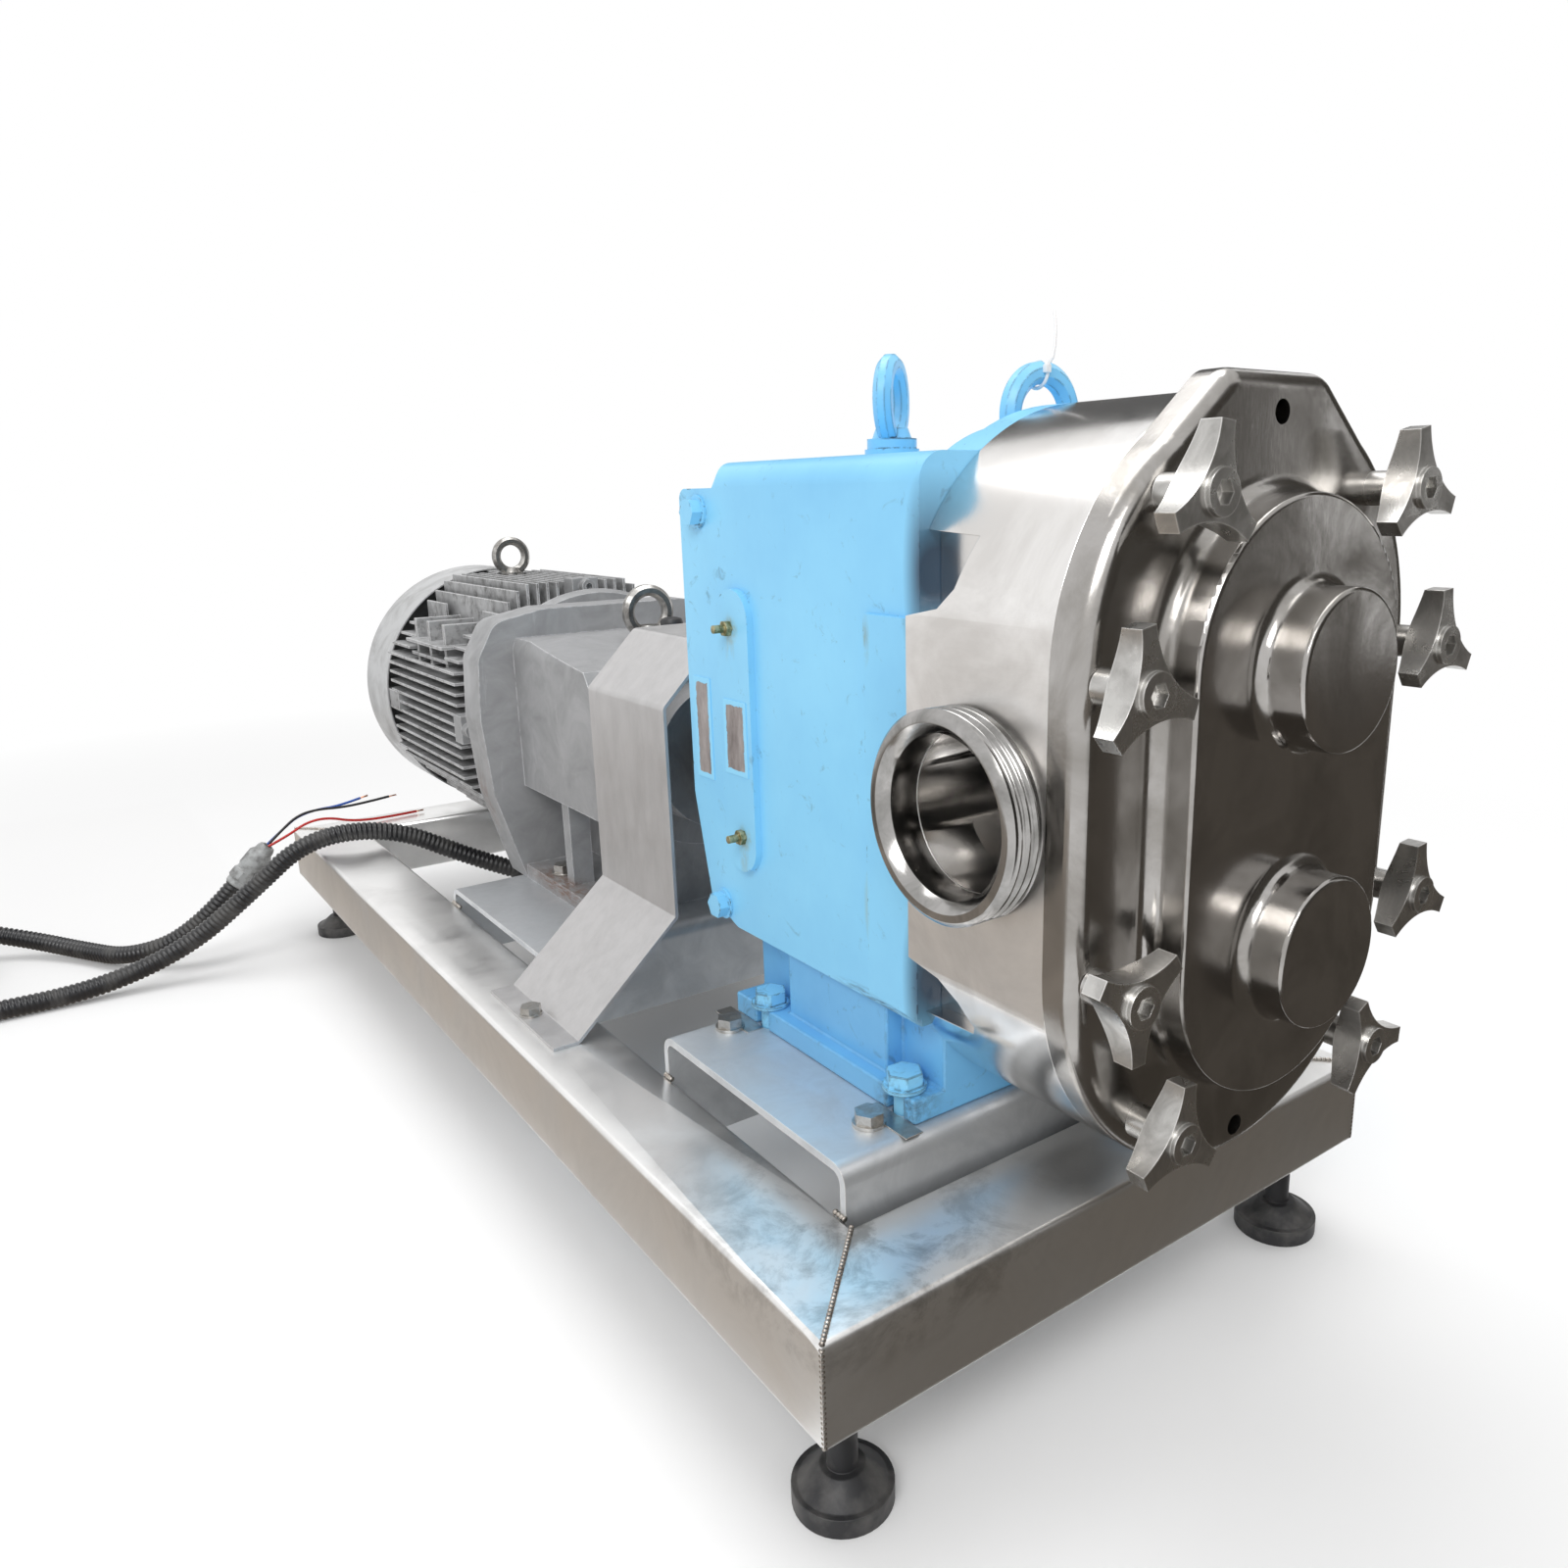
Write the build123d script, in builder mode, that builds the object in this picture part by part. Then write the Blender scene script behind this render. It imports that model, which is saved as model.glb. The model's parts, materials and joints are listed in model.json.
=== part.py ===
"""Skid-mounted rotary lobe pump: pump head, gear case, coupling, helical reducer and motor.

Millimetres, +Z up. The origin is on the floor under the middle of the whole unit, +Y runs
from the front cover back to the motor, and +X is on the right of someone facing the cover.
"""
import os
from math import acos, cos, hypot, pi, radians, sin, sqrt, tan

from build123d import *

os.makedirs("parts", exist_ok=True)

# ---- fits and clearances
RUNNING_FIT = 0.05           # radial, shaft in its bearing
ROTOR_OFFSET = 0.3           # taken off the theoretical rotor curve all round
ROTOR_TIP_GAP = 0.4          # rotor tip to chamber wall
ROTOR_END_GAP = 0.25         # rotor faces to cover and casing
STUD_CLEARANCE = 0.5         # radial, cover holes round the studs
NUT_CLEARANCE = 0.1          # radial, wing nut bore on the stud
BOLT_CLEARANCE = 1.0         # radial, bolt holes in feet and plates

# ---- pump head
SHAFT_CENTRES = 168.0        # between the driven (upper) and drive (lower) shaft
HEAD_R = 157.0               # end radius of the oblong cover and casing
CAP_TOP = 249.0              # lifting cap of the cover, above the middle of the head
CAP_HALF_W = 46.0
CAP_SLOPE_X, CAP_SLOPE_Z = 111.0, 195.0
COVER_T = 25.0
PLATEAU_OUT, PLATEAU_R = 27.4, 98.0
DOME_OUT, DOME_R, DOME_WALL = 29.4, 47.0, 9.0
CASING_DEPTH = 125.0
CASING_FLAT_X = 154.3        # machined side flats that carry the ports
CHAMBER_DEPTH = 110.0
PORT_FROM_COVER = 65.2       # port axis behind the casing's front face, its thread clear of the cover
PORT_BORE_R, PORT_THREAD_R, PORT_OUT = 50.0, 65.0, 27.7
PORT_CONE = 4.0
THREAD_RELIEF_R, THREAD_RELIEF_L = 61.0, 4.0     # undercut behind the union thread
STUD_R, STUD_SINK = 7.0, 34.0
STUDS_OUTER = (99.2, 182.8)
STUDS_INNER = (142.3, 84.6)
WINDOW_WALL_X = 126.0        # floor of the casing's side pockets
NUT_OUT, NUT_HUB_OUT = 35.0, 38.0   # a wing nut's wings and hub ahead of the cover
NUT_STEM_R, NUT_STEM_L = 10.5, 14.0
NUT_LOBE_R, NUT_TIP_T, NUT_HUB_R = 36.0, 13.0, 12.5

# ---- rotors and shafts
LOBES = 3
PITCH_R = SHAFT_CENTRES / 2
ROTOR_SHAFT_R = 22.5
THREAD_R = 16.0
SEAL_SHAFT_R = 27.5
BEARING_SHAFT_R = 30.0
BEARING_R, BEARING_W = 55.0, 32.0
ROTOR_NUT_R = 34.0
SEAL_R = 38.0

# ---- pump head details
STUD_SPOTS = [(hx * x, hz * z) for x, z in (STUDS_OUTER, STUDS_INNER)
              for hx in (-1, 1) for hz in (-1, 1)]
CAP_FILLET, EDGE_FILLET, PLATEAU_FILLET, DOME_FILLET = 22.0, 3.0, 12.0, 9.0
VENT_TOP, VENT_LOW, VENT_R = 226.0, -223.0, 7.0
CASING_KEEL = 237.4          # flat under the casing, clear of the channel below it
CHAMBER_R = PITCH_R * (LOBES + 1) / LOBES - ROTOR_OFFSET + ROTOR_TIP_GAP
GROOVE_R, GROOVE_W, GROOVE_DEPTH = 120.0, 5.0, 4.0
THREAD_LEAD = 3.0
# side pockets of the casing: (forward of its rear face, height)
WINDOW_UPPER = ((-1, 163), (48, 160), (40, 130), (28, 118), (-1, 112))
WINDOW_LOWER = ((-1, -112), (28, -118), (44, -130), (54, -146), (50, -152), (-1, -155))
NUT_GRIP = 26.0              # stud length inside the wing nut
NUT_TIP_HALF, NUT_WAIST_R = 9.0, 15.0   # half angle of a wing's tip, radius between wings
NUT_SOCKET_AF, NUT_SOCKET_DEPTH = 12.0, 7.0
NUT_TURNS = (84, 84, 115, 102, 30, 101, 95, 96)     # where each nut's first wing stands
ROTOR_POINTS = 72
NUT_FRONT, THREAD_END = -38.0, -30.0
GEAR_SHAFT_R = 25.0
CASE_NECK_R, OIL_SPACE_R = 45.0, 80.0
CASE_REAR_WALL = 8.0
GEAR_BOX_INSET = 5.0

# ---- gear case
CASE_HALF_W = 143.0
CASE_TOP, CASE_REAR_TOP, CASE_BOTTOM = 210.0, 191.0, -166.0
CASE_LENGTH = 305.0
CASE_RING_T = 22.0
CASE_BELLY_R = 104.0
GEAR_CHAMBER_R, GEAR_CHAMBER_L = 95.0, 55.0
COVER_PLATE_R, COVER_PLATE_T = 102.0, 12.0
GEAR_MODULE, GEAR_TEETH, GEAR_W = 6.0, 28, 36.0
BACKLASH = 0.35
PRESSURE_ANGLE = radians(20)

# ---- drive line behind the pump
HUB_R, HUB_L, JAW_L = 58.0, 52.0, 20.0
COUPLING_BORE_R = 21.0
REDUCER_CENTRES, REDUCER_MODULE = 80.0, 2.5
MOTOR_PINION_TEETH, COUNTER_GEAR_TEETH = 18, 46
COUNTER_PINION_TEETH, OUTPUT_GEAR_TEETH = 14, 50
REDUCER_HALF_W = 131.0
MOTOR_R, FIN_REACH = 128.0, 167.0
COWL_R, COWL_T, COWL_FIT = 172.0, 2.0, 0.8

# ---- skid
FRAME_LENGTH, FRAME_WIDTH = 1350.0, 537.0
RAIL_W, RAIL_H, RAIL_WALL = 80.0, 72.0, 4.0
FOOT_HEIGHT, FOOT_PAD_R, FOOT_STEM_R = 84.0, 33.0, 10.0
HEAD_SIDE_OFFSET = 31.5      # pump axis to the right of the frame's centre line
FRAME_BACK = 48.6            # front rail behind the cover face
CHANNEL_T, CHANNEL_BEND_R = 6.0, 14.0
PUMP_CHANNEL_RISE, REDUCER_CHANNEL_RISE = 36.0, 19.4
SHAFT_HEIGHT = 154.6         # drive shaft above the pump channel

# ---- gear case and foot details
CASE_TAPER_Z = -60.0
PAD_PROUD, PAD_Z = 4.0, (-160.0, 109.0)
RIB_PROUD, RIB_W, RIB_TOP, RIB_LOW = 6.0, 46.0, 116.0, -110.0
EYE_BOSS_R, EYE_RECESS_R = 22.0, 27.0
REAR_EYE_Z, FRONT_EYE_Z = 219.0, 198.0
CASE_NOSE_BLEND, CASE_NOSE_INSET = 15.0, 1.5     # cove between the front ring and the flat top
CASE_CORNER_R, CASE_HEEL_L, CASE_HEEL_H = 9.0, 23.0, 14.0
STEP_BEHIND_CASING, HEEL_BEHIND_CASING = 252.0, 242.0
FRONT_EYE_BEHIND_CASING, REAR_EYE_BEHIND_CASING, RIB_BEHIND_CASING = 42.0, 208.0, 221.0
PAD_L = 54.0
SIDE_PLUGS = ((425.0, 173.0), (412.0, -150.0))
NIPPLE_AF, NIPPLE_HEX_L, NIPPLE_R, NIPPLE_L = 11.0, 5.0, 3.2, 9.0
NIPPLES = ((375.0, 86.0), (367.0, -80.0))
COVER_BOLT_R = 90.0
FOOT_HALF_W, FOOT_PLATE_T = 150.0, 18.0
FOOT_WALL_IN, FOOT_WALL_OUT, FOOT_BOSS_OUT, FOOT_BOSS_GAP = 105.0, 123.0, 138.0, 24.0
FOOT_BOLT_X, FOOT_SLOT_W, FOOT_LENGTH = 141.0, 18.0, 238.0
FOOT_BOLTS_BEHIND_CASING = (22.0, 198.0)
PUMP_CHANNEL_LENGTH, PUMP_CHANNEL_FORWARD = 252.4, 14.0
FOOT_PAD_T, FOOT_CONE_H, FOOT_NUT_H, FOOT_NUT_AF = 14.0, 12.0, 12.0, 30.0

# ---- reducer details
REDUCER_SEAT_T, REDUCER_FOOT_HALF_W = 17.0, 137.0
REDUCER_FOOT_SPAN = (700.0, 930.0)
REDUCER_SIDE_LOW, REDUCER_BELLY_R = -142.0, 105.0
REDUCER_ROOF = ((690.0, -40.0), (690.0, -6.0), (704.0, 13.0), (857.0, 31.0))
REDUCER_ROUND = 34.0
REDUCER_NOSE_R = 78.0
REDUCER_RIB_X, REDUCER_RIB_SPAN = (102.0, 126.0), (785.0, 803.0)
REDUCER_KEEL_W, REDUCER_KEEL_FRONT = 110.0, 700.0
REDUCER_BOLT_X, REDUCER_BOLT_Y = 116.0, (720.0, 838.0)
REDUCER_BOLTS = [(x, y) for x in (-REDUCER_BOLT_X, REDUCER_BOLT_X) for y in REDUCER_BOLT_Y]
REDUCER_FLANGE = ((138.0, -255.0), (168.0, -150.0), (176.0, -60.0), (172.0, 10.0),
                  (150.0, 50.0), (90.0, 62.0))
OUT_SHAFT_R, COUNTER_SHAFT_R, PINION_SHAFT_R, MOTOR_SHAFT_R = 20.0, 12.0, 17.0, 22.5
SLOW_GEARS, FAST_GEARS = (802.0, 832.0), (906.0, 928.0)
SLOW_SPACE, FAST_SPACE = (796.0, 846.0), (900.0, 934.0)
GEAR_SPACE = 1.6             # gear tips to the reducer's inner walls

# ---- motor details
FIN_T, FIN_PITCH, FIN_COUNT = 3.4, 13.0, 8
FIN_CORNER = 237.0           # width plus height at the fins' 45 degree corners
BODY_WALL, ROTOR_R, AIR_GAP = 16.0, 66.0, 0.5
BODY_FRONT = 1010.0
BODY_BACK = 1292.0
BELL_PROFILE = ((156.0, 950.0), (160.0, 964.0), (150.0, 984.0))     # end bell: (radius, station)
BELL_BACK_R = 132.0
LUG_R, LUG_W, LUG_SCREW_R, LUG_T = 172.0, 34.0, 162.0, 26.0
SCREW_HEAD_R, SCREW_HEAD_H, SCREW_SOCKET_AF = 9.0, 12.0, 8.0
COWL_LUG_L, COWL_LUG_NECK = 36.0, 20.0
EYE_SEAT_HALF, REAR_WALL = 22.0, 22.0
SEAT_RIBS, SEAT_RIB_T = (1076.0, 1138.0, 1192.0), 8.0
STATOR_SPAN, FAN_SPAN = (1040.0, 1240.0), (1312.0, 1340.0)
FAN_SHAFT_R, FAN_R, FAN_HUB_R, FAN_BLADE_T = 15.0, 120.0, 30.0, 3.0
GRILLE_R, GRILLE_SLOT = 78.0, (76.0, 7.0)
SEAT_OUT, SEAT_SPAN, SEAT_LEDGE_Z = 162.0, (1064.0, 1212.0), 8.0
BOX_OUTLET, OUTLET_L = (183.0, 1140.0), 12.0
BOX_X, BOX_SPAN, BOX_Z = (150.0, 236.0), (1080.0, 1200.0), (-145.0, -25.0)
MOTOR_EYE_Y, MOTOR_EYE_Z = 1235.0, 79.0
REDUCER_EYE_Y, REDUCER_EYE_Z = 814.0, 29.0

# ---- conduit and wires, routes as (x from the pump axis, station, height above the floor)
CONDUIT_R, WIRE_R = 12.5, 1.8
COIL_X, COIL_Y, COIL_R = -850.0, 1437.5, 137.5
COIL_TURNS = 2.5
COIL_IN = (COIL_X, COIL_Y - COIL_R, CONDUIT_R)
COIL_OUT = (COIL_X, COIL_Y + COIL_R, CONDUIT_R * (1 + 2 * COIL_TURNS))
FEED_ROUTE = [(178, 1140, 218.6), (128, 1142, 142.6), (70, 1150, 95), (-25, 1162, 84),
              (-118, 1190, 128), (-205, 1226, 178.5), (-310, 1242, 180.5), (-385, 1268, 112),
              (-462, 1290, 48), (-570, 1300, 12.7), (-700, 1304, 12.7)]
RETURN_ROUTE = [(-745, 1573, 62), (-640, 1545, 26), (-575, 1470, 14.5), (-527, 1384, 18),
                (-452, 1341, 45.4)]
GLAND_LOW, GLAND_HIGH = (-393, 1335, 106.6), (-345, 1330, 156.6)
GLAND_STEPS = ((0, 10, 14.0), (10, 58, 15.5), (58, 69, 12.0))
GLAND_HEX = (10, 24, 34.0)
WIRE_ROUTES = (
    ("wire_blue", [(-346, 1334.5, 156.2), (-321, 1346, 172), (-300, 1357, 183), (-272, 1368, 186),
                   (-240, 1376, 184), (-208, 1380, 190)]),
    ("wire_black", [(-344, 1329.5, 158.4), (-325, 1338, 172), (-301, 1347, 187), (-273, 1356, 189),
                    (-240, 1361, 185), (-206, 1365, 185.5), (-170, 1370, 188)]),
    ("wire_red", [(-347, 1325, 155.2), (-318, 1334, 164), (-292, 1342, 176), (-262, 1349, 176.5),
                  (-227, 1356, 163), (-180, 1361, 159), (-134, 1366, 159.5)]),
)

# ---- guard and channel details
GUARD_T = 3.0
GUARD_HALF_W, GUARD_KNEE_Z, GUARD_SHOULDER_Z = 151.3, -182.5, 8.0
GUARD_TOP_HALF_W, GUARD_TOP_Z = 101.0, 58.6
GUARD_LEFT_FOOT, GUARD_RIGHT_FOOT = (-277.0, -253.0), (165.0, 205.0)
GUARD_LEFT_X, GUARD_RIGHT_X, GUARD_BOLT_Y = -266.0, 188.0, 563.0
CHANNEL_FIT, CHANNEL_LEG = 0.4, 64.0
JACK_SPOTS = [(-172.0, 173.0), (-171.0, 364.0)]
JAW_ANGLE, JAW_IN_R, SPIDER_LEG_W = 38.0, 30.0, 10.5

# ---- fasteners: (head across flats, head height, washer radius, washer thickness, shank radius)
M16, M14 = (24.0, 10.0, 16.0, 3.0, 8.0), (21.0, 9.0, 14.0, 2.5, 7.0)
M12, M10 = (19.0, 7.5, 12.0, 2.5, 6.0), (17.0, 6.4, 10.0, 2.0, 5.0)
M8, OIL_PLUG = (13.0, 5.3, 8.0, 1.6, 4.0), (19.0, 9.0, 13.0, 2.0, 6.0)
M16_NUT_H, M14_NUT_H, M12_NUT_H = 13.0, 11.0, 10.0
# lifting eyes: (ring diameter, hole diameter, height)
EYE_M20, EYE_M16, EYE_M12 = (72.0, 40.0, 73.0), (63.0, 35.0, 60.0), (54.0, 30.0, 55.0)

# ---- stations, measured back from the cover's front face
CASING_FRONT = COVER_T
CASING_BACK = CASING_FRONT + CASING_DEPTH
CHAMBER_BACK = CASING_FRONT + CHAMBER_DEPTH
PORT_Y = CASING_FRONT + PORT_FROM_COVER
CASE_BACK = CASING_BACK + CASE_LENGTH
CASE_STEP = CASING_BACK + STEP_BEHIND_CASING
CASE_HEEL = CASING_BACK + HEEL_BEHIND_CASING
FRONT_EYE_Y = CASING_BACK + FRONT_EYE_BEHIND_CASING
REAR_EYE_Y = CASING_BACK + REAR_EYE_BEHIND_CASING
RIB_Y = CASING_BACK + RIB_BEHIND_CASING
FOOT_SPAN = (CASING_BACK, CASING_BACK + FOOT_LENGTH)
FOOT_BOLT_Y = [CASING_BACK + behind for behind in FOOT_BOLTS_BEHIND_CASING]
PUMP_CHANNEL_SPAN = (CASING_BACK - PUMP_CHANNEL_FORWARD,
                     CASING_BACK - PUMP_CHANNEL_FORWARD + PUMP_CHANNEL_LENGTH)
REDUCER_CHANNEL_SPAN = (640.0, 925.0)
GEAR_CHAMBER_FRONT = CASE_BACK - GEAR_CHAMBER_L
GEAR_FRONT = GEAR_CHAMBER_FRONT + GEAR_BOX_INSET
GEAR_BACK = GEAR_FRONT + GEAR_W
FRONT_BEARING = CASING_BACK + 52
REAR_BEARING = GEAR_CHAMBER_FRONT - BEARING_W
GUARD_FRONT, GUARD_BACK = 484.0, 639.0
HUB_FRONT = CASE_BACK + 38
SPIDER_FRONT = HUB_FRONT + HUB_L
REDUCER_FRONT, REDUCER_BACK = 652.0, 950.0
REDUCER_FLANGE_T = 52.0
REDUCER_FLANGE_FRONT = REDUCER_BACK - REDUCER_FLANGE_T
MOTOR_FRONT = REDUCER_BACK
COWL_FRONT, COWL_BACK = 1300.0, 1440.0
HEAD_OUT = PLATEAU_OUT + DOME_OUT
OVERALL_LENGTH = HEAD_OUT + COWL_BACK

# ---- heights above the floor
RAIL_TOP = FOOT_HEIGHT + RAIL_H
PUMP_SEAT = RAIL_TOP + PUMP_CHANNEL_RISE
REDUCER_SEAT = RAIL_TOP + REDUCER_CHANNEL_RISE
DRIVE_Z = PUMP_SEAT + SHAFT_HEIGHT
MID_Z = DRIVE_Z + PITCH_R
UP, LOW = PITCH_R, -PITCH_R  # the two shafts from the middle of the head
COVER_FACE = HEAD_OUT - OVERALL_LENGTH / 2

# ---- holes through the channels: (x, station, bolt radius)
FOOT_BOLTS = [(x, y) for x in (-FOOT_BOLT_X, FOOT_BOLT_X) for y in FOOT_BOLT_Y]
PUMP_CHANNEL_HOLES = [(x, y, M16[-1]) for x, y in FOOT_BOLTS] + [(x, y, M12[-1]) for x, y in JACK_SPOTS]
REDUCER_CHANNEL_HOLES = [(x, y, M14[-1]) for x, y in REDUCER_BOLTS]


def section(back, height=0.0):
    """Plane across the unit, `back` behind the cover face: local x is X, local y is Z."""
    origin = (HEAD_SIDE_OFFSET, COVER_FACE + back, MID_Z + height)
    return Plane(origin=origin, x_dir=(1, 0, 0), z_dir=(0, -1, 0))


def side(x):
    """Plane along the unit, x to the right of the pump axis: local x runs back, local y is Z."""
    origin = (HEAD_SIDE_OFFSET + x, COVER_FACE, MID_Z)
    return Plane(origin=origin, x_dir=(0, 1, 0), z_dir=(1, 0, 0))


def level(z):
    """Level plane z from the middle of the head: local x is X, local y runs back."""
    return Plane(origin=(HEAD_SIDE_OFFSET, COVER_FACE, MID_Z + z))


def save(builder, name):
    builder.part.label = name
    export_step(builder.part, f"parts/{name}.step")


def turned(height, points, mode=Mode.ADD):
    """Body of revolution about a Y axis at `height`: points are (radius, station)."""
    with BuildSketch(level(height)) as outline:
        with BuildLine():
            Polyline(*points, close=True)
        make_face()
    axis = Axis((HEAD_SIDE_OFFSET, COVER_FACE, MID_Z + height), (0, 1, 0))
    revolve(outline.sketch, axis=axis, mode=mode)


def ring(height, r_out, r_in, front, back):
    """Plain ring about a Y axis between two stations."""
    with BuildSketch(section(back, height)) as outline:
        Circle(r_out)
        if r_in:
            Circle(r_in, mode=Mode.SUBTRACT)
    extrude(outline.sketch, amount=back - front)


def face_edges(builder, back, reach):
    """Edges in the section plane `back` whose middles are within `reach` of the head's middle."""
    station = COVER_FACE + back
    level_edges = builder.edges().filter_by_position(Axis.Y, station - 0.01, station + 0.01)
    middle = Vector(HEAD_SIDE_OFFSET, station, MID_Z)
    return level_edges.filter_by(lambda edge: (edge.position_at(0.5) - middle).length < reach + 1)


def oblong(radius):
    """Outline of two half circles round the shafts joined by straight sides."""
    SlotCenterToCenter(SHAFT_CENTRES, 2 * radius, rotation=90)


def bore(height, radius, front, back):
    with BuildSketch(section(back, height)) as outline:
        Circle(radius)
    extrude(outline.sketch, amount=back - front, mode=Mode.SUBTRACT)


def hex_bolts(plane, spots, size, grip, nut_h=0.0):
    """Hexagon bolts with washers on `plane`, heads along its normal and shanks behind it."""
    head_af, head_h, washer_r, washer_t, shank_r = size
    if nut_h:
        with BuildSketch(plane.offset(-grip)) as outline:
            with Locations(*spots):
                RegularPolygon(head_af / 2, 6, major_radius=False)
        extrude(outline.sketch, amount=-nut_h)
    with BuildSketch(plane) as outline:
        with Locations(*spots):
            Circle(washer_r)
    extrude(outline.sketch, amount=washer_t)
    with BuildSketch(plane.offset(washer_t)) as outline:
        with Locations(*spots):
            RegularPolygon(head_af / 2, 6, major_radius=False)
    extrude(outline.sketch, amount=head_h)
    if grip:
        with BuildSketch(plane) as outline:
            with Locations(*spots):
                Circle(shank_r)
        extrude(outline.sketch, amount=-grip - nut_h)


def eyebolt(station, base, size, turn):
    """Forged lifting eye screwed down on the height `base`, its ring turned about Z."""
    ring_d, hole_d, height = size
    centre = (HEAD_SIDE_OFFSET, COVER_FACE + station, MID_Z + base)
    wire_r = (ring_d - hole_d) / 4
    foot = Plane(origin=centre)
    with BuildSketch(foot) as outline:
        Circle(hole_d / 2)
    extrude(outline.sketch, amount=wire_r)
    with BuildSketch(foot.offset(wire_r)) as outline:
        Circle(hole_d / 2 - wire_r / 2)
    extrude(outline.sketch, amount=wire_r, taper=20)
    middle = Vector(*centre) + Vector(0, 0, height - ring_d / 2)
    across = Vector(cos(radians(turn)), sin(radians(turn)), 0)
    with BuildSketch(Plane(origin=middle, x_dir=across, z_dir=(0, 0, 1))) as outline:
        with Locations(((ring_d - 2 * wire_r) / 2, 0)):
            RegularPolygon(wire_r, 8, rotation=22.5)
    revolve(outline.sketch, axis=Axis(middle, across.cross(Vector(0, 0, 1))))


def box(x, back, z, mode=Mode.ADD):
    """Block between pairs of limits: x from the pump axis, back from the cover, z from mid head."""
    with BuildSketch(level(z[0])) as outline:
        with Locations(((x[0] + x[1]) / 2, (back[0] + back[1]) / 2)):
            Rectangle(x[1] - x[0], back[1] - back[0])
    extrude(outline.sketch, amount=z[1] - z[0], mode=mode)


def involute(angle):
    return tan(angle) - angle


def gear_outline(module, teeth, first, flank_points):
    """Points round an involute gear with the middle of one tooth at the angle `first`."""
    pitch, tip, root = module * teeth / 2, module * (teeth / 2 + 1), module * (teeth / 2 - 1.25)
    base = pitch * cos(PRESSURE_ANGLE)
    half = pi / (2 * teeth) - BACKLASH / 2 / pitch
    points = []
    for tooth in range(teeth):
        middle = radians(first) + 2 * pi * tooth / teeth
        flank = []
        for step in range(flank_points):
            radius = root + (tip - root) * step / (flank_points - 1)
            rolled = involute(acos(base / radius)) if radius > base else 0.0
            flank.append((radius, half + involute(PRESSURE_ANGLE) - rolled))
        points += [(r * cos(middle - a), r * sin(middle - a)) for r, a in flank]
        points += [(r * cos(middle + a), r * sin(middle + a)) for r, a in reversed(flank)]
    return points


def gear(height, module, teeth, first, front, back, flank_points=3):
    """Spur gear between two stations, with the middle of one tooth at the angle `first`."""
    with BuildSketch(section(back, height)) as outline:
        with BuildLine():
            Polyline(*gear_outline(module, teeth, first, flank_points), close=True)
        make_face()
    extrude(outline.sketch, amount=back - front)


# ================================================================ front cover
with BuildPart() as cover:
    with BuildSketch(section(COVER_T)) as cover_outline:
        oblong(HEAD_R)
        with BuildLine():
            Polyline((-CAP_HALF_W, CAP_TOP), (CAP_HALF_W, CAP_TOP), (CAP_SLOPE_X, CAP_SLOPE_Z),
                     (CAP_SLOPE_X, 0), (-CAP_SLOPE_X, 0), (-CAP_SLOPE_X, CAP_SLOPE_Z), close=True)
        make_face()
        fillet(cover_outline.vertices().sort_by(Axis.Y)[-2:], radius=CAP_FILLET)
    extrude(amount=COVER_T)
    with BuildSketch(section(0)):
        oblong(PLATEAU_R)
    extrude(amount=PLATEAU_OUT)
    fillet(face_edges(cover, 0, PLATEAU_R + UP), radius=PLATEAU_FILLET)
    fillet(face_edges(cover, -PLATEAU_OUT, HEAD_R + UP), radius=EDGE_FILLET)
    with BuildSketch(section(-PLATEAU_OUT)):
        with Locations((0, UP), (0, LOW)):
            Circle(DOME_R)
    extrude(amount=DOME_OUT)
    fillet(face_edges(cover, -PLATEAU_OUT, DOME_R + UP), radius=DOME_FILLET)
    fillet(face_edges(cover, -HEAD_OUT, HEAD_R), radius=EDGE_FILLET)
    for height in (UP, LOW):
        bore(height, DOME_R - DOME_WALL, DOME_WALL - HEAD_OUT, COVER_T)
    with BuildSketch(section(COVER_T)):
        with Locations(*STUD_SPOTS):
            Circle(STUD_R + STUD_CLEARANCE)
        with Locations((0, VENT_TOP), (0, VENT_LOW)):
            Circle(VENT_R)
    extrude(amount=COVER_T, mode=Mode.SUBTRACT)
save(cover, "cover")

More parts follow.
